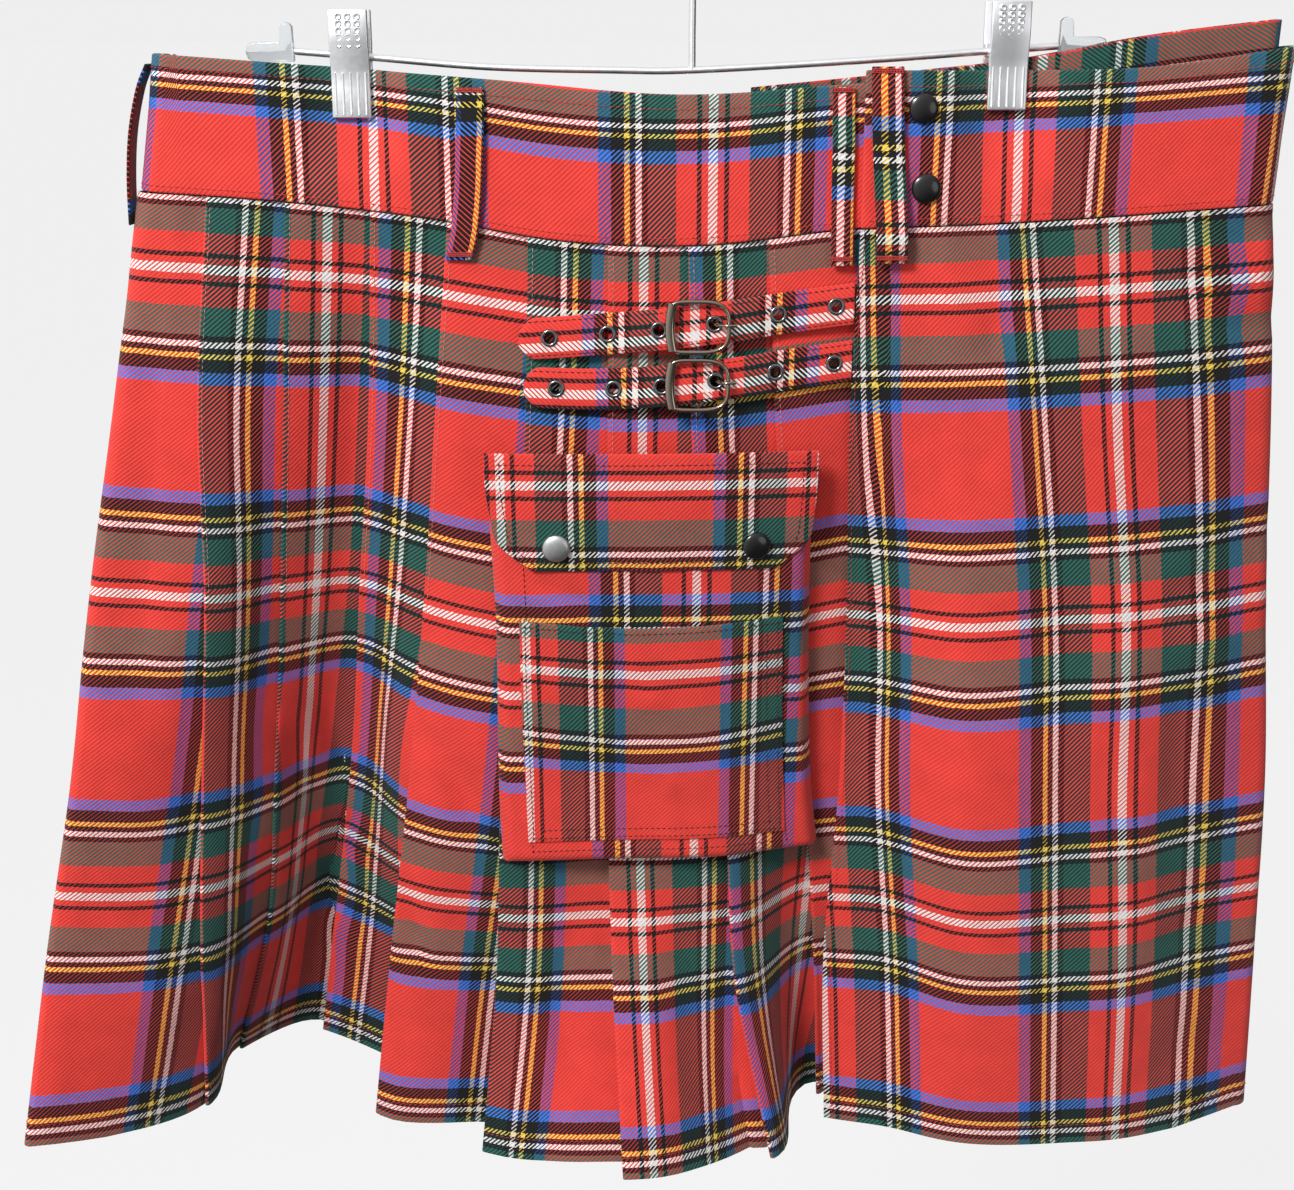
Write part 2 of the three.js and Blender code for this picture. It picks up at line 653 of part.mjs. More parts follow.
// A tray open at the top and towards the skirt: front, two sides and a bottom, folded from one sheet
function bagGeometry() {
  const across = 16;
  const levels = 10;
  const edgeAt = (side, t) => between(bag[side], t);
  const outer = (t, inset, depth) => {
    const z = between(bag.z, t);
    const left = edgeAt('left', t) + inset;
    const right = edgeAt('right', t) - inset;
    const seatAt = (x) => skirtFace(x, z) - pocket.seat;
    const front = Array.from({ length: across + 1 }, (_, i) => {
      const x = mix(left, right, i / across);
      return new THREE.Vector3(x, Math.min(pocketFront(x, z) + depth, seatAt(x)), z);
    });
    const back = Array.from({ length: across + 1 }, (_, i) => {
      const x = mix(right, left, i / across);
      return new THREE.Vector3(x, seatAt(x), z);
    });
    return [...front, ...back];
  };
  const block = (inset, depth, first, last, extraTop, extraBack) => {
    const rows = Array.from({ length: levels + 1 }, (_, r) => {
      const t = mix(first, last, r / levels);
      return outer(t, inset, depth).map((p, i) => {
        const behind = i > across ? extraBack : 0;
        return new THREE.Vector3(p.x, p.y + behind, p.z + (r === 0 ? extraTop : 0));
      });
    });
    return prism(rows);
  };
  return cut(block(0, 0, 0, 1, 0, 0), block(pocket.wall, pocket.wall, 0, 0.985, 4, 4));
}

// Closed block through rings of points, capped at both ends
function prism(rows) {
  const size = rows[0].length;
  const points = rows.flat();
  const index = [];
  for (let r = 0; r + 1 < rows.length; r += 1) {
    for (let c = 0; c < size; c += 1) {
      const a = r * size + c;
      const b = r * size + ((c + 1) % size);
      index.push(a, b, b + size, a, b + size, a + size);
    }
  }
  const half = size / 2;
  [0, (rows.length - 1) * size].forEach((base, end) => {
    for (let c = 0; c + 1 < half; c += 1) {
      const a = base + c;
      const b = base + c + 1;
      const d = base + size - 1 - c;
      const e = base + size - 2 - c;
      index.push(...(end === 0 ? [a, d, e, a, e, b] : [a, e, d, a, b, e]));
    }
  });
  return facingOut(points, index);
}

// A sheet on the pocket's front, from a table of edges, with an optional sagging top
function onPocket(row, lift, thickness, sag, across, levels) {
  const rows = Array.from({ length: levels + 1 }, (_, r) => {
    const t = r / levels;
    const left = between(row.left, t);
    const right = between(row.right, t);
    return Array.from({ length: across + 1 }, (_, c) => {
      const s = c / across;
      const x = mix(left, right, s);
      const z = between(row.z, t) - sag * (1 - t) * Math.sin(Math.PI * s);
      return new THREE.Vector3(x, pocketFront(x, z) - lift - thickness / 2, z);
    });
  });
  return wall(rows, thickness);
}

const sheetLift = 2 * seamGap;
const pocketSnapZ = -339;

// Hanger
const rodRadius = 1.75;
const rodLine = [[-198.7, -86], [-159, -89], [-102, -93.5], [-40, -95], [0, -95], [83, -90.5], [147, -86], [182.7, -83.5]];
const hook = { radius: 21, sweep: 200, shank: -95 };

function rodGeometry() {
  const rod = tube(rodLine.map(([x, z]) => [x, 0, z]), rodRadius, 18);
  const middle = rodRadius - hook.radius;
  const arc = Array.from({ length: 15 }, (_, i) => {
    const angle = THREE.MathUtils.degToRad(mix(-25, hook.sweep, i / 14));
    return [hook.radius * Math.cos(angle), 0, middle + hook.radius * Math.sin(angle)];
  });
  const shank = [[0, 0, hook.shank], [0, 0, -70], [1, 0, -52], [9, 0, -38]];
  return join(rod, tube([...shank, ...arc], rodRadius, 30));
}

// Clear end piece: a lying arm with an upright nub, rounded by its outline
function clearEnd(innerX, outward, z) {
  const outline = new THREE.Shape();
  outline.moveTo(0, -5);
  outline.lineTo(20, -5);
  outline.quadraticCurveTo(24, -5, 24, 0);
  outline.quadraticCurveTo(24, 4.5, 20, 4.5);
  outline.lineTo(7, 4.5);
  outline.lineTo(6.5, 12);
  outline.quadraticCurveTo(3.5, 15.5, 0.5, 12);
  outline.closePath();
  const body = new THREE.ExtrudeGeometry(outline, { depth: 6, bevelEnabled: false, curveSegments: 4 });
  body.rotateX(Math.PI / 2);
  body.translate(0, 3, 0);
  if (outward < 0) body.rotateZ(Math.PI);
  body.translate(innerX, 0, z);
  return body;
}

// Clip jaw: a plate bent away above the rod, with two ears that reach the rod
function jawGeometry(place, side) {
  const width = 19.5;
  const inner = place.inner;
  const outer = inner + 2.4;
  const outline = new THREE.Shape([
    new THREE.Vector2(inner, place.bottom),
    new THREE.Vector2(outer + 1, place.bottom),
    new THREE.Vector2(outer, place.bottom + 14),
    new THREE.Vector2(outer, place.rodHeight - 4),
    new THREE.Vector2(outer + 2.2, place.rodHeight + 6),
    new THREE.Vector2(outer + 1.6, place.top),
    new THREE.Vector2(inner + 1.4, place.top),
    new THREE.Vector2(inner + 1.8, place.rodHeight + 6),
    new THREE.Vector2(inner, place.rodHeight - 4),
  ]);
  const plate = new THREE.ExtrudeGeometry(outline, { depth: width, bevelEnabled: false });
  plate.applyMatrix4(new THREE.Matrix4().set(0, 0, 1, place.x - width / 2, 1, 0, 0, 0, 0, 1, 0, 0, 0, 0, 0, 1));
  const reach = inner + 1.6 - rodRadius - clipGap;
  const ears = [-1, 1].map((end) => {
    const ear = new THREE.BoxGeometry(1.6, reach, 6);
    ear.translate(place.x + end * (width / 2 - 0.8), rodRadius + clipGap + reach / 2, place.rodHeight);
    return ear;
  });
  const jaw = join(plate, ...ears);
  if (side < 0) {
    jaw.applyMatrix4(new THREE.Matrix4().makeScale(1, -1, 1));
    jaw.index.array.reverse();
  }
  return jaw;
}

// Finishes
const finish = {
  tartan: { color: 0xc23a36, roughness: 0.9, metalness: 0 },
  tartanDark: { color: 0x8c2f30, roughness: 0.9, metalness: 0 },
  gunmetal: { color: 0x4a4a4d, roughness: 0.25, metalness: 1 },
  nickel: { color: 0x8f9092, roughness: 0.3, metalness: 1 },
  blackSnap: { color: 0x17181a, roughness: 0.3, metalness: 0.6 },
  silver: { color: 0xc9cbce, roughness: 0.3, metalness: 1 },
  clear: { color: 0xe9edf0, roughness: 0.1, metalness: 0 },
};

const kilt = new THREE.Group();

function addPart(name, geometry, look, place = [0, 0, 0], turn = 0) {
  const mesh = new THREE.Mesh(geometry, new THREE.MeshStandardMaterial(finish[look]));
  mesh.name = name;
  mesh.position.set(...place);
  mesh.rotation.z = turn;
  kilt.add(mesh);
}

// Skirt and waist
addPart('skirt_front', wall(hangCloth(frontPath, seamAt), clothWall), 'tartan');
addPart('skirt_back', wall(hangCloth(backPath, seamAt), clothWall), 'tartan');
addPart('apron', wall(hangCloth(apronPath, seamAt), clothWall), 'tartan');
addPart('under_apron', wall(hangCloth(underApronPath, underSeamAt), clothWall), 'tartanDark');
addPart('waistband_front', waistbandFront(), 'tartan');
addPart('waistband_apron', waistbandApron(), 'tartan');
addPart('waistband_back', waistbandBack(), 'tartan');
addPart('waistband_under', waistbandUnder(), 'tartanDark');
Object.keys(loops).forEach((name) => addPart(name, frontLoop(name), 'tartan'));
addPart('belt_loop_fold', foldLoop(), 'tartan');
addPart('belt_loop_back_left', backLoop(-90), 'tartan');
addPart('belt_loop_back_right', backLoop(90), 'tartan');

// Waist snaps
[['waist_snap_upper', 115, -113], ['waist_snap_lower', 118, -152]].forEach(([name, x, z]) => {
  addPart(name, snapGeometry(), 'blackSnap', [x, bandDepth.apron.seam - bandWall / 2 - seamGap, z]);
});

// Straps, eyelets, buckles and prongs
Object.entries(straps).forEach(([name, row]) => {
  addPart(`strap_${name}`, strapGeometry(row), 'tartan');
  row.eyelets.forEach((x, i) => {
    const z = strapZ(row, x);
    const turn = tilt(strapY, x, z);
    addPart(`eyelet_${name}_${i + 1}`, eyeletGeometry(), 'nickel', [x, strapY(x, z), z], turn);
  });
  const z = buckleZ[name];
  const y = strapY(buckleX, z);
  addPart(`buckle_${name}`, buckleGeometry(z, y), 'gunmetal');
  addPart(`prong_${name}`, prongGeometry(row, strapZ(row, row.eyelets[3]), y), 'gunmetal');
});

// Pocket
addPart('pocket_bag', bagGeometry(), 'tartan');
addPart('pocket_patch', onPocket(patch, sheetLift, pocket.patchWall, patch.sag, 8, 6), 'tartan');
addPart('pocket_flap', onPocket(flap, sheetLift, pocket.flapWall, 0, 8, 8), 'tartan');
[['pocket_snap_left', -71, 'silver'], ['pocket_snap_right', 36, 'blackSnap']].forEach(([name, x, look]) => {
  const y = pocketFront(x, pocketSnapZ) - sheetLift - pocket.flapWall - pocket.snapLift;
  addPart(name, snapGeometry(), look, [x, y, pocketSnapZ], tilt(pocketFront, x, pocketSnapZ));
});

// Hanger
addPart('hanger_rod', rodGeometry(), 'silver');
addPart('hanger_end_left', clearEnd(-199, -1, -86), 'clear');
addPart('hanger_end_right', clearEnd(183, 1, -83.5), 'clear');
Object.entries(clip).forEach(([name, place]) => {
  addPart(`clip_${name}_front`, jawGeometry(place, -1), 'silver');
  addPart(`clip_${name}_back`, jawGeometry(place, 1), 'silver');
});

export default kilt;
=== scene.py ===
# %% [markdown]
# # A red tartan kilt on its clip hanger
# Each piece of cloth is a thin sheet, worked out from the same fold lines as its solid.
# Lengths are in millimetres until a mesh is made, and every piece stays in the frame's own place.

# %% Tools and the frame
import math

import bmesh
import bpy
from mathutils import Matrix, Vector


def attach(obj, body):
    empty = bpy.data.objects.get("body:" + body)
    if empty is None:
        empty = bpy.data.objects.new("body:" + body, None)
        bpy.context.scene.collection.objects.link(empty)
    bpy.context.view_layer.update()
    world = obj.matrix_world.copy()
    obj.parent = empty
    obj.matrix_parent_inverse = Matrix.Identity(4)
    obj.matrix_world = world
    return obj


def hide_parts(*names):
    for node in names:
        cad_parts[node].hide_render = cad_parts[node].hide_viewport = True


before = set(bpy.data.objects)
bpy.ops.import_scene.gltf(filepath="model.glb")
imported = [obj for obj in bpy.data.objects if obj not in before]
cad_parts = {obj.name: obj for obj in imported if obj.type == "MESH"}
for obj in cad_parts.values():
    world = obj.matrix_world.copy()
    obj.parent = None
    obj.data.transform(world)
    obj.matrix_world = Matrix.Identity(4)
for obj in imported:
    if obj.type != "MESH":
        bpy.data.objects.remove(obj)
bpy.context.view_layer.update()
MM = 0.001
print("solids in the frame:", len(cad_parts))

# %% [markdown]
# ## Named sizes
# The skirt hangs 542 mm from the waist seam to the hem, and the waistband is about 75 mm deep.

# %% Driving dimensions
SKIRT_DROP = 542
CLOTH_WALL = 1.1
BAND_WALL = 3
SEAM_GAP = 0.3
HEM_GAP = 0.35
PLEAT_PITCH = 1.7
PLEAT_UNDER = 22
LEFT_EDGE = -282
RIGHT_EDGE = 297
APRON_EDGE = 86
BAND_JOIN = 92.3
UNDER_HEIGHT = 76
SKIRT_ROWS = 90
PANEL_STEPS = 9
TURN_STEPS = 13
FACE_STEPS = 8
SEAM_REACH = 6
OPEN_FROM = 0.52

SEAT = {"apron": -11.5, "front": -8.8, "under_front": -7.5, "under_back": 5.5, "back": 9, "back_fold": 9.8}
BAND_DEPTH = {
    "apron": {"seam": -11.5, "left": -11.5, "right": -5.25},
    "front": {"seam": -8, "left": -1.75, "right": -1.75},
    "under_back": {"seam": 5.5, "left": 5.5, "right": 1.75},
    "back": {"seam": 9, "left": 1.75, "right": 5.25},
}
CLIP_X = {"left": -170.6, "right": 156.8}
SQUEEZE_FULL = 13
SQUEEZE_END = 30

WAIST = {
    "seam": (LEFT_EDGE, RIGHT_EDGE, [-154, -159, -167, -179, -181, -173, -170, -165.5, -160]),
    "front_top": (LEFT_EDGE, APRON_EDGE, [-86, -92.5, -99.5, -106.5, -101]),
    "apron_top": (APRON_EDGE, 300, [-94.7, -94.9, -93, -83]),
    "under_top": (30, RIGHT_EDGE, [-103.5, -97, -89.5, -78, -70]),
    "back_top": (LEFT_EDGE, RIGHT_EDGE, [-90, -96, -103, -109, -111, -104, -99, -96, -88]),
}

# %% [markdown]
# ## Fold lines
# Each line gives a fold's place across (x) and its depth (y) at six even steps from seam to hem.
# The sett column is the place in the pattern that the fold's edge shows, and the opens column is
# how far the cloth behind a fold's edge falls back from it at the hem.

# %% Fold tables
LEFT_FOLD = {"x": [-282, -303, -325, -342, -364, -378], "y": [0, -2, -5, -17, -24, -52]}
LEFT_PANEL = {"x": [-265, -280, -296, -311, -327, -338], "y": [-8, -8, -6, -16, -20, -35]}
FRONT_FOLDS = [
    {"x": [-246, -258, -263, -274, -282, -288], "y": [-10, -11, -9, -2, -4, 5], "opens": 0, "sett": 17.5},
    {"x": [-206, -215, -226, -238, -251, -279], "y": [-10, 0, 16, 29, 39, 60], "opens": 0, "sett": -21.5},
    {"x": [-163, -172, -185, -198, -215, -232], "y": [-10, 12, 34, 59, 76, 86], "opens": 6, "sett": 110.5},
    {"x": [-124, -135, -147, -160, -175, -188], "y": [-10, -5, 12, 16, 19, 13], "opens": 42, "sett": 71.5},
    {"x": [-83, -87, -96, -106, -111, -121], "y": [-10, -8, 0, 6, 4, -13], "opens": 26, "sett": 19},
    {"x": [-42, -43, -45, -45, -42, -36], "y": [-10, -8, 7, 14, -5, -49], "opens": 20, "sett": -18.3},
    {"x": [-1, 2, 11, 23, 30, 52], "y": [-10, -7, 5, 13, 4, -20], "opens": 16, "sett": 114.3},
    {"x": [40, 47, 58, 70, 79, 85], "y": [-10, -3, 14, 31, 38, 46], "opens": 10, "sett": 71},
]
FRONT_END = {"x": [92, 98, 105, 110, 114, 118], "y": [-7, 6, 24, 30, 36, 50]}
APRON_LINES = [
    {"x": [86, 85, 89, 88, 83, 86], "y": [-12, -1, 15, 19, 23, 18],
     "sett": [37.5, 28.5, 19.5, 14.5, 0.5, -1.5]},
    {"x": [104, 102, 107, 111, 120, 125], "y": [-12, -4, 8, 14, 15, 6],
     "sett": [55, 45, 37.5, 37.5, 37.5, 37.5]},
    {"x": [132, 141, 150, 155, 163, 170], "y": [-12, -10, -13, -16, -12, -11], "sett": [86.65] * 6},
    {"x": [173, 187, 200, 206, 213, 219], "y": [-12, -10, -9, -15, -15, -15], "sett": [135.8] * 6},
    {"x": [214, 225, 238, 244, 252, 256], "y": [-12, -9, -10, -12, -13, -14], "sett": [173.3] * 6},
    {"x": [252, 267, 279, 286, 292, 293], "y": [-12, -6, -3, 0, 1, -7], "sett": [210.8] * 6},
]
RIGHT_FOLD = {"x": [297, 311, 321, 332, 337, 342], "y": [-1.25, 11, 16, 17, 17, 19]}
APRON_BACK = [
    {"x": [250, 258, 266, 274, 280, 286], "y": [9, 24, 34, 42, 50, 56]},
    {"x": [170, 176, 182, 188, 192, 196], "y": [9, 24, 38, 50, 60, 68]},
    {"x": [90, 96, 102, 108, 112, 116], "y": [9, 24, 40, 56, 68, 78]},
    {"x": [11, 16, 24, 32, 38, 44], "y": [9, 24, 42, 58, 70, 80]},
]
BACK_FOLDS = [
    {"x": [-5, 0, 6, 10, 14, 18], "y": [10, 24, 42, 58, 70, 79], "opens": 8, "sett": 19},
    {"x": [-45, -44, -42, -40, -38, -36], "y": [10, 22, 38, 52, 62, 74], "opens": 14, "sett": -18.3},
    {"x": [-85, -88, -90, -92, -93, -94], "y": [10, 20, 36, 48, 58, 72], "opens": 12, "sett": 110.5},
    {"x": [-125, -130, -136, -142, -147, -152], "y": [10, 22, 38, 54, 66, 80], "opens": 10, "sett": 71.5},
    {"x": [-165, -172, -182, -192, -202, -210], "y": [10, 26, 48, 72, 90, 100], "opens": 12, "sett": 19},
    {"x": [-205, -216, -228, -240, -252, -264], "y": [10, 24, 42, 62, 86, 108], "opens": 8, "sett": -18.3},
    {"x": [-245, -258, -272, -288, -302, -318], "y": [10, 16, 22, 30, 40, 52], "opens": 0, "sett": 110.5},
]
UNDER_FRONT = [
    {"x": [150, 165, 178, 186, 190, 195], "y": [-7.5, -4, 0, 4, 10, 14]},
    {"x": [230, 240, 250, 256, 260, 262], "y": [-7.5, -3, 1, 4, 5, 8]},
]
UNDER_FOLD = {"x": [291, 302, 312, 322, 326, 329], "y": [-1, 8.5, 15, 16, 16, 18]}
UNDER_BACK = [
    {"x": [225, 235, 245, 252, 256, 258], "y": [5.5, 15, 21, 25, 29, 34]},
    {"x": [150, 155, 160, 165, 168, 170], "y": [5.5, 15, 26, 36, 44, 52]},
    {"x": [30, 32, 36, 40, 44, 46], "y": [5.5, 15, 30, 46, 56, 64]},
]
FOLD_RADIUS = {"left": (8.9, 4), "right": (10.25, 8), "under": (6, 3)}
# The pattern's height at the seam, and how far the seam takes it up over the first millimetres
SETT_DROP = 36.5
SEAM_RISE = 3.6
SEAM_RISE_END = 22
LEFT_SETT = 57
RIGHT_SETT = 248


# %% Smooth values between table entries
def mix(a, b, t):
    return a + (b - a) * t


def between(values, t):
    last = len(values) - 1
    place = min(max(t, 0), 1) * last
    i = min(int(place), last - 1)
    s = place - i
    b, c = values[i], values[i + 1]
    a = values[i - 1] if i > 0 else 2 * b - c
    d = values[i + 2] if i + 2 <= last else 2 * c - b
    return 0.5 * (2 * b + (c - a) * s + (2 * a - 5 * b + 4 * c - d) * s * s
                  + (3 * b - a - 3 * c + d) * s ** 3)


def height_at(name, x):
    start, end, heights = WAIST[name]
    return between(heights, (x - start) / (end - start))


def at(line, t, seat=None):
    depths = list(line["y"])
    if seat is not None:
        depths[0] = seat
    return Vector((between(line["x"], t), between(depths, t)))


def smoothstep(x):
    x = min(max(x, 0), 1)
    return x * x * (3 - 2 * x)


def seam_at(x):
    return height_at("seam", x)


# %% [markdown]
# ## Knife pleats
# The folds of the skirt face are joined by smooth panels, and behind each fold lie two hidden layers.
# A column keeps its group, the fold that its place in the pattern is counted from.

# %% Pleated and plain paths
def curve_point(a, b, ta, tb, s):
    reach = (b - a).length
    h1 = 2 * s ** 3 - 3 * s ** 2 + 1
    h2 = -2 * s ** 3 + 3 * s ** 2
    h3 = s ** 3 - 2 * s ** 2 + s
    h4 = s ** 3 - s ** 2
    point = a * h1 + b * h2 + ta * (h3 * reach) + tb * (h4 * reach)
    d1 = 6 * s ** 2 - 6 * s
    tangent = a * d1 - b * d1 + ta * ((3 * s ** 2 - 4 * s + 1) * reach) + tb * ((3 * s ** 2 - 2 * s) * reach)
    return point, tangent.normalized()


def behind_of(tangent):
    return Vector((-tangent.y, tangent.x))


# The columns of a pleat's hidden layers, as shares of their depth, and those round its two turns, in degrees
UNDER_SHARES = (0.15, 0.5, 0.85, 1)
TUCK_ANGLES = (45, 90, 135)
BACK_SHARES = (1, 0.7, 0.35)
TIP_ANGLES = (0, 40, 90, 140)
STITCH_IN = 2.2


def pleated(start, folds, end, gaps):
    """Columns of a pleated row as (point, group, place); place names the fold's tip and its stitch line."""
    knots = [start, *folds, end]
    runs = [(b - a).normalized() for a, b in zip(knots, knots[1:])]
    tangents = [runs[0], *((a + b).normalized() for a, b in zip(runs, runs[1:])), runs[-1]]
    radius = PLEAT_PITCH / 2
    columns = []
    for i in range(len(knots) - 1):
        a, b = knots[i], knots[i + 1]
        ta, tb = tangents[i], tangents[i + 1]
        if i + 2 < len(knots):
            b = b + behind_of(tb) * (2 * PLEAT_PITCH + gaps[i])
        length = (b - a).length

        def place(right, behind):
            point, tangent = curve_point(a, b, ta, tb, max(right, 0) / length)
            return point + behind_of(tangent) * behind

        if i > 0:
            for share in UNDER_SHARES:
                back = 2 * PLEAT_PITCH + gaps[i - 1] * (1 - share)
                columns.append((place(PLEAT_UNDER * share, back), i - 1, ""))
            for angle in TUCK_ANGLES:
                turn = math.radians(angle)
                back = (1.5 + 0.5 * math.cos(turn)) * PLEAT_PITCH
                columns.append((place(PLEAT_UNDER + radius * math.sin(turn), back), i - (angle <= 45), ""))
            for share in BACK_SHARES:
                columns.append((place(PLEAT_UNDER * share, PLEAT_PITCH), i, ""))
            for angle in TIP_ANGLES:
                turn = math.radians(angle)
                point = place(radius * (1 - math.sin(turn)), radius * (1 + math.cos(turn)))
                columns.append((point, i, "tip" if angle == 90 else ""))
            columns.append((place(radius, 0), i, ""))
            columns.append((place(STITCH_IN, 0), i, "stitch"))
        else:
            columns.append((a, 0, "tip"))
        first = 1 if i == 0 else 0.6
        for k in range(PANEL_STEPS):
            s = (k + first) / (PANEL_STEPS + first)
            columns.append((place(length * s, 0), i, ""))
        columns.append((b, i, ""))
    return columns


def round_end(tip, radius, side, count=TURN_STEPS):
    """Points half round a fold; side is -1 where its tip looks left and 1 where it looks right."""
    points = []
    for i in range(count):
        angle = math.radians(mix(-90 * side, 90 * side, i / (count - 1)))
        points.append(tip + Vector((-side * radius * (1 - math.cos(angle)), radius * math.sin(angle))))
    return points


def fold_turn(line, name, t, side, count=TURN_STEPS):
    return round_end(at(line, t), mix(*FOLD_RADIUS[name], t), side, count)


def smooth_path(points, steps=FACE_STEPS):
    xs, ys = [p.x for p in points], [p.y for p in points]
    count = (len(points) - 1) * steps
    return [Vector((between(xs, i / count), between(ys, i / count))) for i in range(count + 1)]


def side_seam(t, reach):
    tip = at(LEFT_FOLD, t)
    radius = mix(*FOLD_RADIUS["left"], t)
    behind = tip + Vector((radius, radius))
    along = (at(BACK_FOLDS[-1], t, SEAT["back_fold"]) - behind).normalized()
    return behind + along * reach


# %% [markdown]
# ## Soft creases
# A crease is a soft trough or ridge from one place to another on the cloth, given one by one.
# Places are across the frame and down from the seam, or down from the frame's zero for the bag and the
# bands. Depth is towards the wearer where positive.

# %% Creases
# Each row holds x and drop at one end, x and drop at the other, then the width and the depth
CREASES = {
    "bag": [
        (-84, 356, -50, 377, 6, 2.2),
        (-92, 366, -60, 380, 5, -0.9),
    ],
    "band": [
        (148, 118, 152, 166, 6, 1.6),
        (170, 96, 184, 160, 9, -1.0),
        (-206, 100, -196, 160, 8, 1.2),
        (-122, 100, -130, 165, 9, 1.0),
        (-48, 110, -40, 165, 8, -0.9),
        (285, 90, 300, 140, 8, 1.4),
    ],
    "front": [
        (-262, 150, -292, 520, 12, 2.6),
        (-300, 30, -276, 110, 10, 1.8),
        (-330, 250, -300, 360, 14, -1.8),
        (-246, 300, -262, 540, 9, -2.4),
        (-222, 210, -236, 420, 10, 2.2),
        (-217, 285, -206, 350, 6, 4.6),
        (-231, 310, -228, 375, 6, 4.6),
        (-246, 385, -258, 470, 7, 4.6),
        (-275, 440, -272, 535, 6, -5),
        (-310, 525, -282, 460, 10, 2.6),
        (-350, 480, -325, 520, 14, 2.2),
        (-204, 380, -214, 428, 6, 4.4),
        (-224, 416, -212, 462, 6, 4.0),
        (-166, 392, -158, 442, 6, 4.0),
        (-176, 452, -166, 505, 6, 3.6),
        (-150, 100, -140, 200, 8, 2.2),
        (-175, 60, -186, 190, 9, 2.4),
        (-150, 250, -168, 500, 12, 2.4),
        (-142, 292, -117, 352, 7, 4.4),
        (-110, 330, -140, 540, 14, -2.2),
        (-70, 400, -84, 542, 12, 2.2),
        (-82, 445, -56, 510, 7, 3.4),
        (-5, 380, 8, 542, 13, 2.4),
        (-20, 400, -6, 520, 8, -2.2),
        (30, 455, 47, 525, 6, 3.6),
        (42, 400, 60, 542, 11, -1.8),
    ],
    "apron": [
        (120, 60, 138, 500, 14, 1.8),
        (138, 2, 163, 32, 7, 3.6),
        (163, 28, 156, 70, 7, 2.4),
        (126, 10, 146, 60, 8, -2.0),
        (136, 90, 138, 155, 6, 1.6),
        (152, 85, 154, 150, 6, 1.2),
        (160, 0, 190, 260, 12, -1.4),
        (256, 34, 300, 4, 7, 3.4),
        (262, 52, 304, 34, 8, -2.6),
        (257, 30, 280, 82, 7, 3.2),
        (282, 66, 316, 58, 8, 2.8),
        (270, 205, 316, 178, 9, 3.4),
        (262, 240, 312, 222, 10, -2.4),
        (205, 200, 232, 540, 15, 1.6),
        (274, 270, 280, 335, 8, 2.6),
        (232, 280, 238, 350, 8, 2.0),
        (255, 300, 262, 420, 9, -1.8),
        (262, 60, 300, 400, 12, -1.4),
        (285, 420, 322, 400, 10, 2.6),
        (280, 500, 320, 470, 12, 2.2),
    ],
    "back": [
        (-60, 120, -66, 500, 12, 1.6),
        (-150, 80, -176, 520, 14, -1.6),
        (-100, 240, -80, 300, 7, 2.6),
        (-190, 380, -170, 440, 8, 2.8),
        (120, 60, 150, 500, 18, 1.8),
        (220, 40, 240, 420, 16, -1.6),
        (180, 6, 200, 60, 8, -2.6),
        (60, 300, 90, 380, 9, 2.2),
    ],
}
CREASE_END = 0.12
# Where the creases push the pattern sideways: x, drop, how far, and the reach across and down
BENDS = {
    "front": [
        (-208, 400, 3.4, 13, 18),
        (-217, 432, -3.6, 13, 18),
        (-222, 468, 2.8, 12, 18),
        (-163, 405, -3.0, 11, 16),
        (-160, 436, 3.2, 11, 15),
        (-172, 476, -2.6, 11, 18),
        (-236, 300, 2.4, 11, 24),
        (-246, 352, -2.4, 12, 22),
    ],
    "apron": [(286, 66, 2.6, 14, 14), (300, 40, -2.4, 14, 12), (150, 48, 2.2, 12, 16)],
}


def off_line(x, y, x0, y0, x1, y1):
    """How far along a short line the nearest place to a point is, from 0 to 1, and how far off it lies."""
    dx, dy = x1 - x0, y1 - y0
    s = min(max(((x - x0) * dx + (y - y0) * dy) / (dx * dx + dy * dy), 0), 1)
    return s, math.hypot(x - x0 - s * dx, y - y0 - s * dy)


def crease_depth(name, x, drop):
    """A crease is deepest in its middle and soft at both ends."""
    total = 0
    for *ends, width, depth in CREASES.get(name, []):
        s, away = off_line(x, drop, *ends)
        swell = math.sin(math.pi * mix(CREASE_END, 1 - CREASE_END, s))
        total += depth * swell * math.exp(-(away / width) ** 2)
    return total


def bend_at(name, x, drop):
    total = 0
    for x0, d0, shift, reach, height in BENDS.get(name, []):
        total += shift * math.exp(-((x - x0) / reach) ** 2 - ((drop - d0) / height) ** 2)
    return total


# %% [markdown]
# ## Hanging the cloth
# Cloth keeps its length: what a row moves sideways, it loses in height. The pattern's place across
# is counted along each row, and its place down is the length of cloth from the seam.

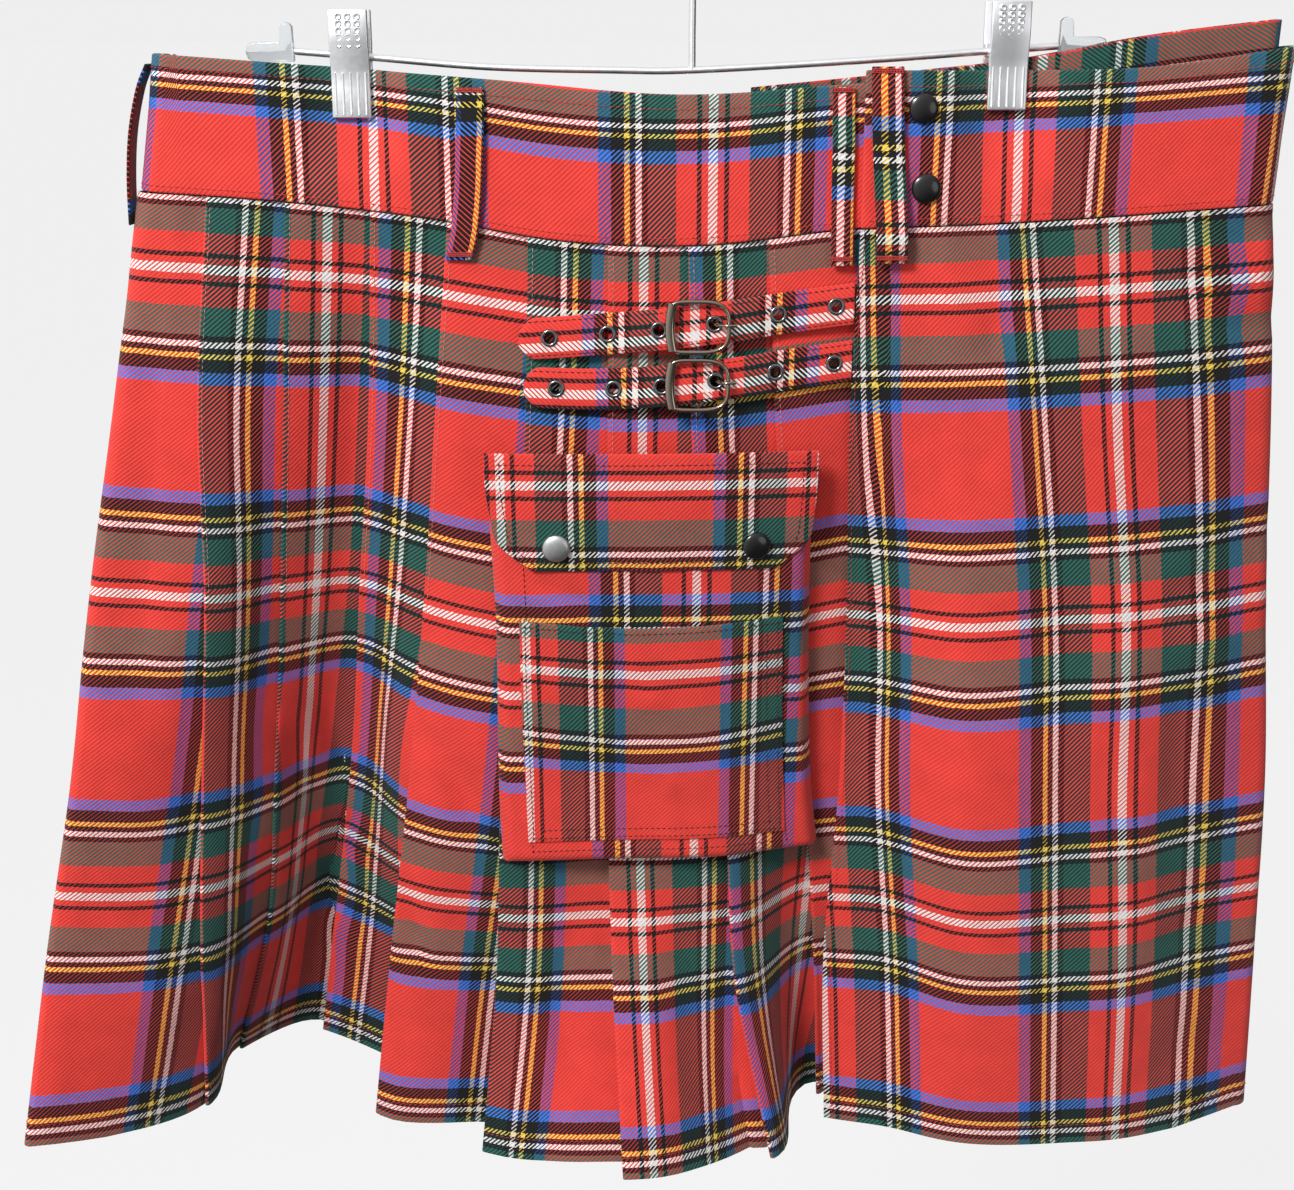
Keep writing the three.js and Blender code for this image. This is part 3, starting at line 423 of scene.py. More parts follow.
# %% Hanging and meshing
def hang(path_at, top_at, sett_at, crease=None):
    """Rows of points in millimetres and the pattern's place of each, from the seam to the hem."""
    rows, places = [], []
    step = SKIRT_DROP / SKIRT_ROWS
    above = None
    for r in range(SKIRT_ROWS + 1):
        t = r / SKIRT_ROWS
        path = path_at(t)
        row = []
        for c, p in enumerate(path):
            if above is None:
                z = top_at(p.x) - HEM_GAP
            else:
                side = (p.x - above[c][0]) ** 2 + (p.y - above[c][1]) ** 2
                z = above[c][2] - math.sqrt(max(step * step - side, 0.01))
            row.append((p.x, p.y, z))
        above = row
        drop = r * step
        down = drop - SETT_DROP - SEAM_RISE * max(0, 1 - drop / SEAM_RISE_END)
        setts = sett_at(t, path)
        places.append([(u + bend_at(crease, x, drop), down) for u, (x, _, _) in zip(setts, row)])
        rows.append([Vector((x, y + crease_depth(crease, x, drop), z)) for x, y, z in row])
    return rows, places


def lengths_along(path):
    total = [0]
    for a, b in zip(path, path[1:]):
        total.append(total[-1] + (b - a).length)
    return total


def placed(name, data):
    piece = bpy.data.objects.new(name, data)
    bpy.context.scene.collection.objects.link(piece)
    return piece


def evaluated(piece):
    """The mesh that a piece's modifiers make."""
    bpy.context.view_layer.update()
    graph = bpy.context.evaluated_depsgraph_get()
    return bpy.data.meshes.new_from_object(piece.evaluated_get(graph))


def mesh_of(name, points, faces):
    """A mesh from points in millimetres."""
    mesh = bpy.data.meshes.new(name)
    mesh.from_pydata([tuple(v * MM for v in p) for p in points], [], faces)
    return mesh


def smoothed(mesh, sharp):
    mesh.shade_smooth()
    mesh.set_sharp_from_angle(angle=math.radians(sharp))


def bake(piece, sharp=50):
    """Turns the modifiers into the piece's own mesh and shades it smooth between its sharp edges."""
    mesh = evaluated(piece)
    piece.modifiers.clear()
    piece.data = mesh
    smoothed(mesh, sharp)


def rounded(piece, width, steps, limit):
    edge = piece.modifiers.new("edge", "BEVEL")
    edge.width = width * MM
    edge.segments = steps
    edge.limit_method = "ANGLE"
    edge.angle_limit = math.radians(limit)


def grid_mesh(name, rows, places):
    """A sheet of quads with its pattern map in cloth metres."""
    across = len(rows[0])
    corners = [r * across + c for r in range(len(rows) - 1) for c in range(across - 1)]
    faces = [(a, a + across, a + across + 1, a + 1) for a in corners]
    mesh = mesh_of(name, [p for row in rows for p in row], faces)
    layer = mesh.uv_layers.new(name="cloth")
    flat = [(MM * u, MM * v) for row in places for u, v in row]
    for loop in mesh.loops:
        layer.data[loop.index].uv = flat[loop.vertex_index]
    return placed(name, mesh)


def cloth_piece(name, rows, places, wall, material, node, bevel=0.0, steps=2, even=True):
    piece = grid_mesh(name, rows, places)
    solid = piece.modifiers.new("wall", "SOLIDIFY")
    solid.thickness = wall * MM
    solid.offset = 0
    solid.use_even_offset = even
    if bevel:
        rounded(piece, bevel, steps, 60)
    bake(piece)
    piece.data.materials.clear()
    piece.data.materials.append(material)
    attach(piece, "root")
    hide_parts(node)
    print(name, len(piece.data.polygons), "faces")
    return piece


# %% [markdown]
# ## Materials
# The tartan is worked out from its thread count: a ramp of stripes for the threads that run down,
# another for those that run across, and a two-by-two twill that shows one or the other.

# %% Shader helpers
def linear(colour):
    return tuple(((v / 255 + 0.055) / 1.055) ** 2.4 if v > 10 else v / 255 / 12.92 for v in colour) + (1,)


class Nodes:
    """Short calls for building a tree of shader nodes."""

    def __init__(self, tree):
        self.tree = tree

    def node(self, kind, **settings):
        made = self.tree.nodes.new(kind)
        for key, value in settings.items():
            setattr(made, key, value)
        return made

    def link(self, source, target):
        self.tree.links.new(source, target)

    def put(self, value, socket):
        if hasattr(value, "is_output"):
            self.link(value, socket)
        else:
            socket.default_value = value

    def math(self, operation, a, b=0.0, c=0.0):
        made = self.node("ShaderNodeMath", operation=operation)
        for value, socket in zip((a, b, c), made.inputs):
            self.put(value, socket)
        return made.outputs[0]

    def blend(self, factor, a, b, how="MIX"):
        made = self.node("ShaderNodeMix", data_type="RGBA", blend_type=how)
        self.put(factor, made.inputs[0])
        self.put(a, made.inputs[6])
        self.put(b, made.inputs[7])
        return made.outputs[2]

    def noise(self, vector, scale, detail=2.0):
        made = self.node("ShaderNodeTexNoise")
        self.link(vector, made.inputs["Vector"])
        made.inputs["Scale"].default_value = scale
        made.inputs["Detail"].default_value = detail
        return made.outputs[0]


class Shader(Nodes):
    """A material with its nodes."""

    def __init__(self, name):
        self.material = bpy.data.materials.new(name)
        self.material.use_nodes = True
        super().__init__(self.material.node_tree)
        self.surface = self.tree.nodes["Principled BSDF"]

    def set(self, **values):
        for key, value in values.items():
            self.surface.inputs[key.replace("_", " ")].default_value = value


# %% Tartan
# Stripe widths from the white pivot to the red pivot, in threads of the whole sett
STRIPES = [("white", 4), ("red", 6.5), ("black", 5), ("red", 20), ("green", 28), ("black", 5.5), ("white", 6),
           ("black", 6), ("yellow", 5.3), ("black", 13), ("blue", 12), ("red", 55)]
# The check's repeat across and down, and the twill's
SETT_ACROSS = 173.3
SETT_DOWN = 178.7
TWILL = 2.65
# The threads' slight wander in metres and its grain, and how hard the edge of each thread is
WANDER = 0.0011
WANDER_GRAIN = 900
THREAD_EDGE = 1.5
# Wear varies the tone in soft patches
WEAR = {"grain": 70, "spread": 0.3, "base": 0.76}
RIB = {"Strength": 0.5, "Distance": 0.0002}
SMEAR = {"grain": 420, "spread": 0.16}
# The last number is how far the threads cover the ones they cross; these shares were fitted to mixed colours
# made darker by shade in the gaps between threads, so their bias towards black is partly painted shade
DOWN_THREADS = {
    "white": (228, 220, 216, 0.4),
    "red": (218, 56, 50, 0.1),
    "black": (17, 17, 19, 0.85),
    "green": (18, 54, 52, 0.5),
    "yellow": (236, 196, 78, 0.16),
    "blue": (38, 76, 150, 0.16),
}
# The threads that run across are lighter than the same yarns running down: painted sheen of the light on them
ACROSS_THREADS_WITH_SHEEN = {
    "white": (240, 236, 232, 0.4),
    "red": (236, 70, 60, 0.1),
    "black": (20, 21, 23, 0.9),
    "green": (50, 106, 92, 0.5),
    "yellow": (246, 214, 90, 0.16),
    "blue": (70, 122, 216, 0.46),
}


def stripe_ramp(shader, place, sett, colours):
    half = sett / 2 * MM
    folded = shader.math("DIVIDE", shader.math("PINGPONG", place, half), half)
    ramp = shader.node("ShaderNodeValToRGB")
    ramp.color_ramp.interpolation = "CONSTANT"
    shader.link(folded, ramp.inputs[0])
    total = sum(width for _, width in STRIPES)
    points = ramp.color_ramp.elements
    start = 0
    for i, (colour, width) in enumerate(STRIPES):
        point = points[i] if i < 2 else points.new(start / total)
        point.position = start / total
        *shade, cover = colours[colour]
        point.color = (*linear(shade)[:3], cover)
        start += width
    return ramp.outputs


def tartan(name, shade=1.0):
    shader = Shader(name)
    place = shader.node("ShaderNodeUVMap", uv_map="cloth").outputs[0]
    split = shader.node("ShaderNodeSeparateXYZ")
    shader.link(place, split.inputs[0])
    u, v, _ = split.outputs
    waver = shader.noise(place, WANDER_GRAIN, 1)
    jitter = shader.math("MULTIPLY", shader.math("SUBTRACT", waver, 0.5), WANDER)
    warp = stripe_ramp(shader, shader.math("ADD", u, jitter), SETT_ACROSS, DOWN_THREADS)
    weft = stripe_ramp(shader, shader.math("ADD", v, jitter), SETT_DOWN, ACROSS_THREADS_WITH_SHEEN)
    diagonal = shader.math("ADD", u, v)
    wave = shader.math("SINE", shader.math("MULTIPLY", diagonal, 2 * math.pi / (TWILL * MM)))
    cover = shader.math("SUBTRACT", weft[1], warp[1])
    over = shader.math("MULTIPLY_ADD", shader.math("ADD", wave, cover), THREAD_EDGE, 0.5)
    clamp = shader.node("ShaderNodeClamp")
    shader.link(over, clamp.inputs[0])
    colour = shader.blend(clamp.outputs[0], warp[0], weft[0])
    worn = shader.noise(place, WEAR["grain"], 4)
    # The wear noise varies the tone at random; a shade factor below 1 darkens the whole cloth as painted
    # shade
    tone = shader.math("MULTIPLY_ADD", worn, WEAR["spread"], WEAR["base"] * shade)
    grey = shader.node("ShaderNodeCombineColor")
    for socket in grey.inputs:
        shader.link(tone, socket)
    toned = shader.blend(1.0, colour, grey.outputs[0], "MULTIPLY")
    shader.link(toned, shader.surface.inputs["Base Color"])
    bump = shader.node("ShaderNodeBump")
    for label, value in RIB.items():
        bump.inputs[label].default_value = value
    shader.link(shader.math("ADD", wave, shader.math("MULTIPLY", waver, 0.6)), bump.inputs["Height"])
    shader.link(bump.outputs[0], shader.surface.inputs["Normal"])
    shader.set(Roughness=0.82, Sheen_Weight=0.12, Sheen_Roughness=0.5, Specular_IOR_Level=0.25)
    return shader.material


def plain(name, colour, metallic, roughness, **more):
    shader = Shader(name)
    shader.set(Base_Color=linear(colour), Metallic=metallic, Roughness=roughness, **more)
    return shader


def metal(name, colour, roughness):
    shader = plain(name, colour, 1.0, roughness)
    place = shader.node("ShaderNodeTexCoord")
    smear = shader.noise(place.outputs["Object"], SMEAR["grain"], 3)
    dull = shader.math("MULTIPLY_ADD", smear, SMEAR["spread"], roughness - 0.06)
    shader.link(dull, shader.surface.inputs["Roughness"])
    return shader.material


CLOTH = tartan("tartan")
# The under apron and the under band get the same tartan darkened to 0.8: painted shade for cloth that lies
# inside the kilt
CLOTH_UNDER_PAINTED_SHADE = tartan("tartan_shaded", 0.8)
NICKEL = metal("dark nickel", (132, 132, 134), 0.2)
GUNMETAL = metal("gunmetal", (158, 146, 130), 0.12)
SILVER = metal("worn silver", (196, 198, 196), 0.38)
CHROME = metal("chrome", (246, 247, 249), 0.34)
LACQUER = plain("black lacquer", (13, 13, 14), 0.0, 0.26, Coat_Weight=0.4).material
CLEAR = plain("clear plastic", (238, 242, 245), 0.0, 0.06, Transmission_Weight=0.9, IOR=1.46).material
PALE_THREAD = plain("pale thread", (206, 140, 134), 0.0, 0.7).material
RED_THREAD = plain("red thread", (176, 50, 46), 0.0, 0.7).material
DARK_THREAD = plain("dark thread", (58, 30, 30), 0.0, 0.7).material
print("materials:", len(bpy.data.materials))


# %% [markdown]
# ## The skirt
# The front has a left panel and eight pleats; the apron is one broad panel that turns round the
# right side; the under apron lies inside it; the back is pleated as the front is.

# %% Skirt pieces
def front_columns(t):
    turn = fold_turn(LEFT_FOLD, "left", t, -1)
    panel = at(LEFT_PANEL, t, SEAT["front"])
    folds = [at(line, t, SEAT["front"]) for line in FRONT_FOLDS]
    lead = smooth_path([turn[-1], panel], 3)[1:-1]
    opened = smoothstep((t - OPEN_FROM) / (1 - OPEN_FROM))
    gaps = [line["opens"] * opened for line in FRONT_FOLDS]
    return [side_seam(t, SEAM_REACH), *turn, *lead], pleated(panel, folds, at(FRONT_END, t), gaps)


def front_path(t):
    lead, rest = front_columns(t)
    return [*lead, *(p for p, _, _ in rest)]


def pleat_setts(lead_count, columns, lead_place, folds, path):
    """Pattern places along a pleated row, counted from each fold's tip."""
    along = lengths_along(path)
    tips = {group: lead_count + i for i, (_, group, mark) in enumerate(columns) if mark == "tip"}
    first = lead_place + along[tips[0]]
    starts = [first] + [line["sett"] for line in folds]
    setts = [lead_place + d for d in along[:lead_count]]
    for i, (_, group, _) in enumerate(columns):
        setts.append(starts[group] + along[lead_count + i] - along[tips[group]])
    return setts


def front_setts(t, path):
    lead, rest = front_columns(t)
    tip = lengths_along(path)[1 + TURN_STEPS // 2]
    return pleat_setts(len(lead), rest, LEFT_SETT - tip, FRONT_FOLDS, path)


def apron_path(t):
    front = smooth_path([at(line, t, SEAT["apron"]) for line in APRON_LINES])
    back = smooth_path([at(line, t, SEAT["back"]) for line in APRON_BACK])
    return [*front, *fold_turn(RIGHT_FOLD, "right", t, 1), *back]


def apron_setts(t, path):
    anchors = [between(line["sett"], t) for line in APRON_LINES]
    count = FACE_STEPS * (len(anchors) - 1)
    setts = []
    for i in range(count + 1):
        k = min(i // FACE_STEPS, len(anchors) - 2)
        setts.append(mix(anchors[k], anchors[k + 1], i / FACE_STEPS - k))
    along = lengths_along(path)
    fold = count + 1 + TURN_STEPS // 2
    for i in range(count + 1, fold):
        setts.append(mix(anchors[-1], RIGHT_SETT, (along[i] - along[count]) / (along[fold] - along[count])))
    setts += [RIGHT_SETT + d - along[fold] for d in along[fold:]]
    return setts


def under_path(t):
    start = at(FRONT_END, t) + Vector((2 * SEAM_GAP, 0))
    front = smooth_path([start, *(at(line, t, SEAT["under_front"]) for line in UNDER_FRONT)])
    back = smooth_path([at(line, t, SEAT["under_back"]) for line in UNDER_BACK])
    return [*front, *fold_turn(UNDER_FOLD, "under", t, 1, 9), *back]


def back_columns(t):
    start = at(APRON_BACK[-1], t, SEAT["back"]) - Vector((SEAM_GAP, 0))
    folds = [-at(line, t, SEAT["back_fold"]) for line in BACK_FOLDS]
    gaps = [line["opens"] * t * t for line in BACK_FOLDS]
    return pleated(-start, folds, -side_seam(t, SEAM_REACH + 1.5 * SEAM_GAP), gaps)


def back_path(t):
    return [-p for p, _, _ in back_columns(t)]


def back_setts(t, path):
    return pleat_setts(0, back_columns(t), 90, BACK_FOLDS, path)


def plain_setts(t, path):
    return [100 + d for d in lengths_along(path)]


def under_seam_at(x):
    return height_at("under_top", x) - UNDER_HEIGHT


GRIDS = {
    "skirt_front": hang(front_path, seam_at, front_setts, "front"),
    "skirt_back": hang(back_path, seam_at, back_setts, "back"),
    "apron": hang(apron_path, seam_at, apron_setts, "apron"),
    "under_apron": hang(under_path, under_seam_at, plain_setts),
}
skirt_front = cloth_piece("kilt_front", *GRIDS["skirt_front"], CLOTH_WALL, CLOTH, "skirt_front", even=False)
skirt_back = cloth_piece("kilt_back", *GRIDS["skirt_back"], CLOTH_WALL, CLOTH, "skirt_back", even=False)
apron = cloth_piece("kilt_apron", *GRIDS["apron"], CLOTH_WALL, CLOTH, "apron", even=False)
under_apron = cloth_piece("kilt_under_apron", *GRIDS["under_apron"], CLOTH_WALL, CLOTH_UNDER_PAINTED_SHADE, "under_apron",
                          even=False)


# %% [markdown]
# ## Waistbands
# Two clips squeeze the band's layers together, so each run of band dips towards the rod there.

# %% Waistband runs
BAND_ROWS = [(0, 1), (0.35, 1), (0.55, 0.55), (0.78, 0.08), (1, 0)]
BAND_FOLDS = {
    "left": {"radius": 8.5, "depth": 0.5, "top": -270, "seam": -281},
    "right": {"radius": 10.25, "depth": -1.25, "top": 300.5, "seam": 297},
    "under": {"radius": 6.75, "depth": -1.25, "top": 292.5, "seam": 289.5},
}
# Each band's pattern: the place of its white column, its stretch, and the pattern's height at the seam
BAND_SETTS = {
    "front": {"start": -133.5, "stretch": 1.004, "seam": 77.9},
    "apron": {"start": -169.5, "stretch": 1.038, "seam": 74},
    "back": {"start": -157.5, "stretch": 1.038, "seam": 77.9},
    "under": {"start": -157.5, "stretch": 1.038, "seam": 77.9},
}
BAND_LEAN = 7
BAND_LEAN_END = 26
BAND_SUBSTEPS = 4
# Where the straight runs of the bands meet their turns, and where the under band ends behind
RUN_LEFT = -256
RUN_RIGHT = 275
UNDER_RIGHT = 272
UNDER_START = 30


def band_y(layer, x, fade):
    depth = BAND_DEPTH[layer]
    total = depth["seam"]
    for side, middle in CLIP_X.items():
        away = (SQUEEZE_END - abs(x - middle)) / (SQUEEZE_END - SQUEEZE_FULL)
        total += fade * smoothstep(away) * (depth[side] - depth["seam"])
    return total


def band_run(layer, start, end, fade, spacing=5):
    count = math.ceil(abs(end - start) / spacing)
    stops = [mix(start, end, i / count) for i in range(count + 1)]
    return [Vector((x, band_y(layer, x, fade))) for x in stops]


def band_tip(name, s, side):
    fold = BAND_FOLDS[name]
    return Vector((mix(fold["top"], fold["seam"], s) - side * BAND_WALL / 2, fold["depth"]))


def band_turn(name, s, side):
    return round_end(band_tip(name, s, side), BAND_FOLDS[name]["radius"], side)


def front_band(s, fade):
    return [*band_turn("left", s, -1), *band_run("front", RUN_LEFT, BAND_JOIN, fade)]


def apron_band(s, fade):
    return [*band_run("apron", APRON_EDGE, RUN_RIGHT, fade), *band_turn("right", s, 1)]


def back_band(s, fade):
    right = band_tip("right", s, 1).x - BAND_FOLDS["right"]["radius"] - 2 * SEAM_GAP
    left = band_tip("left", s, -1).x + BAND_FOLDS["left"]["radius"] + 2 * SEAM_GAP
    depth = BAND_DEPTH["back"]["seam"]
    return [Vector((right, depth)), *band_run("back", RUN_RIGHT, RUN_LEFT, fade), Vector((left, depth))]


def under_band(s, fade):
    return [*band_run("front", BAND_JOIN + SEAM_GAP, UNDER_RIGHT, fade), *band_turn("under", s, 1),
            *band_run("under_back", UNDER_RIGHT, UNDER_START, fade)]


def band_grid(path_at, top, bottom_at, sett, crease):
    """Rows from the band's top to its seam, between the five heights that every band shares."""
    shared = []
    for s, squeeze in BAND_ROWS:
        row = []
        for p in path_at(s, squeeze):
            z = mix(height_at("back_top", p.x), seam_at(p.x), s)
            if s == 0:
                z = height_at(top, p.x)
            if s == 1:
                z = bottom_at(p.x) + HEM_GAP
            row.append(Vector((p.x, p.y, z)))
        shared.append(row)
    rows = []
    for r in range((len(shared) - 1) * BAND_SUBSTEPS + 1):
        i = min(r // BAND_SUBSTEPS, len(shared) - 2)
        level = [a.lerp(b, r / BAND_SUBSTEPS - i) for a, b in zip(shared[i], shared[i + 1])]
        rows.append([p + Vector((0, crease_depth(crease, p.x, -p.z), 0)) for p in level])
    seam = rows[-1]
    start = (seam[0].x - sett["start"]) * sett["stretch"]
    way = 1 if seam[-1].x > seam[0].x else -1
    across = [start + way * d * sett["stretch"] for d in lengths_along(seam)]
    places = []
    for row in rows:
        line = []
        for u, p, q, edge in zip(across, row, seam, rows[0]):
            lean = BAND_LEAN * max(0, 1 - (edge.z - p.z) / BAND_LEAN_END)
            line.append((u, -sett["seam"] - p.z + q.z - lean))
        places.append(line)
    return rows, places


BAND_CUTS = {
    "front": (front_band, "front_top", seam_at, "band", CLOTH),
    "apron": (apron_band, "apron_top", seam_at, "band", CLOTH),
    "back": (back_band, "back_top", seam_at, None, CLOTH),
    "under": (under_band, "under_top", under_seam_at, None, CLOTH_UNDER_PAINTED_SHADE),
}
bands = {}
for name, (path_at, top, bottom_at, crease, material) in BAND_CUTS.items():
    GRIDS[f"band_{name}"] = band_grid(path_at, top, bottom_at, BAND_SETTS[name], crease)
    bands[name] = cloth_piece(f"waistband_{name}_cloth", *GRIDS[f"band_{name}"], BAND_WALL - 0.1, material,
                              f"waistband_{name}", bevel=1.1, steps=3)
# %% [markdown]
# ## Belt loops
# Each loop is a strip that stands off the band; the one at the left fold bows out past the side.

# %% Loops
LOOP_WALL = 1.5
FRONT_LOOPS = {
    "left": {"x": [-111, -110.8, -111.5, -113, -115.5, -119], "half": 7, "sett": 118.3, "top": 142,
             "down": -1, "z": [-103, -112, -130, -155, -175, -188], "lift": [0, 1, 2.2, 2, 1.4, 0.3]},
    "centre": {"x": [75.5, 75.5, 76, 76.2, 76.6, 77], "half": 5.6, "sett": 33, "top": 5.4, "down": 1,
               "z": [-103, -112, -130, -155, -175, -191], "lift": [0, 1, 1.8, 1.6, 1.2, 0.3]},
    "apron": {"x": [96.5, 96.8, 98, 99.8, 101, 101.8], "half": 8, "sett": 123.2, "top": 94.6, "down": 1,
              "z": [-93, -106, -130, -155, -176, -189], "lift": [0, 2.2, 2, 3.5, 6.5, 2.5]},
}
SIDE_LOOP = {"x": [-271.9, -277.5, -283, -285.8, -286.7], "z": [-92, -104, -125, -148, -171], "half": 7}
BACK_LOOP_LIFT = [0, 1.4, 2.2, 2.2, 1.4, 0]
BACK_LOOP_HALF = 7
LOOP_STEPS = 24


def loop_piece(name, node, rows, sett, start, way=1):
    half = len(rows[0]) - 1
    width = (rows[0][-1] - rows[0][0]).length
    down = lengths_along([row[half // 2] for row in rows])
    places = [[(sett + width * c / half, start + way * d) for c in range(half + 1)] for d in down]
    return cloth_piece(name, rows, places, LOOP_WALL, CLOTH, node, bevel=0.5)


def loop_rows(level_at):
    return [level_at(i / LOOP_STEPS) for i in range(LOOP_STEPS + 1)]


def band_face(layer):
    """The depth at which a piece lies on the front of a band."""
    return BAND_DEPTH[layer]["seam"] - BAND_WALL / 2 - SEAM_GAP


def front_loop_level(side, t):
    row = FRONT_LOOPS[side]
    x, z = between(row["x"], t), between(row["z"], t)
    y = band_face("apron" if side == "apron" else "front") - LOOP_WALL / 2 - between(row["lift"], t)
    return [Vector((x + row["half"] * s, y - 0.4 * (1 - s * s), z)) for s in (-1, -0.6, 0, 0.6, 1)]


def side_loop_level(t):
    x, z = between(SIDE_LOOP["x"], t), between(SIDE_LOOP["z"], t)
    return [Vector((x, BAND_FOLDS["left"]["depth"] - s * SIDE_LOOP["half"], z)) for s in (-1, 0, 1)]


def back_loop_level(x, t):
    y = BAND_DEPTH["back"]["seam"] + BAND_WALL / 2 + SEAM_GAP + LOOP_WALL / 2 + between(BACK_LOOP_LIFT, t)
    z = mix(height_at("back_top", x) - 1, seam_at(x) + 2, t)
    return [Vector((x + BACK_LOOP_HALF * s, y, z)) for s in (1, 0, -1)]


for side, row in FRONT_LOOPS.items():
    rows = loop_rows(lambda t: front_loop_level(side, t))
    loop_piece(f"loop_{side}_cloth", f"belt_loop_{side}", rows, row["sett"], row["top"], row["down"])
loop_piece("loop_fold_cloth", "belt_loop_fold", loop_rows(side_loop_level), 20, 50)
for side, x in (("left", -90), ("right", 90)):
    rows = loop_rows(lambda t: back_loop_level(x, t))
    loop_piece(f"loop_back_{side}_cloth", f"belt_loop_back_{side}", rows, 116, 30)


# %% [markdown]
# ## Straps and pocket
# The straps and the pocket lie over several pleats, on a smooth mean of their faces.

# %% Faces that carry them
PANEL = {"near": 0.6, "lift": 1.2, "right": 84, "spread": (-30, -15, 0, 15, 30)}


def skirt_face(x, z):
    t = max(seam_at(x) - z, 0) / SKIRT_DROP
    places = [at(line, t, SEAT["front"]) for line in [*FRONT_FOLDS[2:], FRONT_END]]
    i = next((k for k, p in enumerate(places) if p.x > x), len(places) - 1)
    a, b = places[max(i, 1) - 1], places[max(i, 1)]
    return mix(a.y, b.y, (x - a.x) / (b.x - a.x)) - PANEL["near"]


def panel_face(x, z):
    """The mean of the skirt's face over a stretch about x."""
    depths = [skirt_face(min(x + offset, PANEL["right"]), z) for offset in PANEL["spread"]]
    return sum(depths) / len(depths) - PANEL["lift"]


# %% Straps
STRAP = {"half": 10.8, "wall": 2, "tip": 9, "lift": 3.4, "seated": 0.5, "hole": 3.2}
STRAPS = {
    "upper": {"left": -89, "right": 84.6, "z": [-228.7, -225.8, -221.8, -216.2, -210.6], "white": 4.8,
              "pivot": 2, "eyelets": [-73, -43, -16.5, 12, 45, 75]},
    "lower": {"left": -87, "right": 84.6, "z": [-253.6, -254.4, -251.2, -246.2, -240.6], "white": 2.8,
              "pivot": 9, "eyelets": [-70, -40, -15, 13, 44, 75]},
}
BUCKLE_X = 4
# The straps stand off the skirt this far to each side of the buckle, then come down to it over a stretch
BUCKLE_STAND = 14
BUCKLE_FADE = 38
STRAP_STEPS = 70
STRAP_LEVELS = (-1, -0.5, 0, 0.5, 1)


def strap_z(row, x):
    return between(row["z"], (x - row["left"]) / (row["right"] - row["left"]))


def strap_y(x, z):
    near = smoothstep((abs(x - BUCKLE_X) - BUCKLE_STAND) / BUCKLE_FADE)
    return panel_face(x, z) - mix(STRAP["lift"], STRAP["seated"], near) - STRAP["wall"] / 2


def drill(piece, centre, radius):
    bpy.ops.mesh.primitive_cylinder_add(vertices=32, radius=radius * MM, depth=0.02,
                                        rotation=(math.pi / 2, 0, 0), location=[v * MM for v in centre])
    tool = bpy.context.object
    hole = piece.modifiers.new("hole", "BOOLEAN")
    hole.object = tool
    hole.solver = "EXACT"
    return tool


def strap_rows(row):
    rows, places = [], []
    for i in range(STRAP_STEPS + 1):
        x = mix(row["left"], row["right"], i / STRAP_STEPS)
        z = strap_z(row, x)
        point = min((x - row["left"]) / STRAP["tip"], 1)
        half = STRAP["half"] * (0.3 + 0.7 * math.sin(point * math.pi / 2) ** 0.8)
        y = strap_y(x, z)
        rows.append([Vector((x, y - 0.25 * (1 - s * s), z + s * half)) for s in STRAP_LEVELS])
        places.append([(x - row["pivot"], row["white"] + s * half) for s in STRAP_LEVELS])
    return rows, places


for name, row in STRAPS.items():
    strap = cloth_piece(f"strap_{name}_cloth", *strap_rows(row), STRAP["wall"] - 0.1, CLOTH, f"strap_{name}",
                        bevel=0.7)
    centres = [(x, strap_y(x, strap_z(row, x)), strap_z(row, x)) for x in row["eyelets"]]
    tools = [drill(strap, centre, STRAP["hole"]) for centre in centres]
    bake(strap)
    for tool in tools:
        bpy.data.objects.remove(tool)

# %% Pocket
POCKET = {"depth": 11, "snap_lift": 1.1, "seat": 1.4, "edge": 7, "fullness": 0.6, "bottom": 1.2}
BAG_WALL = 1.2
FLAP_WALL = 1.4
BAG = {"z": [-296, -321, -388, -460, -500, -532], "left": [-106, -107, -105, -106, -106, -105],
       "right": [66, 66, 67, 70, 73, 77]}
PATCH = {"z": [-382, -430, -480, -517], "left": [-92, -92, -91, -90], "right": [52, 53, 55, 57], "sag": 5}
FLAP = {"z": [-287, -305, -322, -338, -353],
        "left": [-108, -108, -106, -102, -84], "right": [68, 68, 67, 64, 47]}
BAG_SETT = {"x": 4.2, "z": -427}
PATCH_SETT = {"x": -88.5, "z": -409.9, "stretch": 1.08}
FLAP_SETT = {"x": -99.9, "z": -304.2, "stretch": 1.023}
SHEET_LIFT = 2 * SEAM_GAP
SNAP_Z = -339


def pocket_front(x, z):
    return panel_face(x, z) - POCKET["depth"]


def bag_rows(across=64, levels=70):
    """The bag's front, with its edges rolled back to the skirt at both sides and the bottom."""
    rows, places = [], []
    for r in range(levels + 1):
        t = r / levels
        z = between(BAG["z"], t)
        left, right = between(BAG["left"], t), between(BAG["right"], t)
        row = []
        for c in range(across + 1):
            x = mix(left, right, 0.5 - 0.5 * math.cos(math.pi * c / across))
            inset = min(x - left, right - x, (z - BAG["z"][-1]) * POCKET["bottom"])
            rise = math.sin(min(max(inset, 0) / POCKET["edge"], 1) * math.pi / 2)
            roll = rise ** POCKET["fullness"]
            seat = skirt_face(x, z) - POCKET["seat"]
            y = mix(seat, min(pocket_front(x, z), seat), roll) + crease_depth("bag", x, -z)
            row.append(Vector((x, y, z)))
        rows.append(row)
        places.append([(p.x - BAG_SETT["x"], BAG_SETT["z"] - p.z) for p in row])
    return rows, places


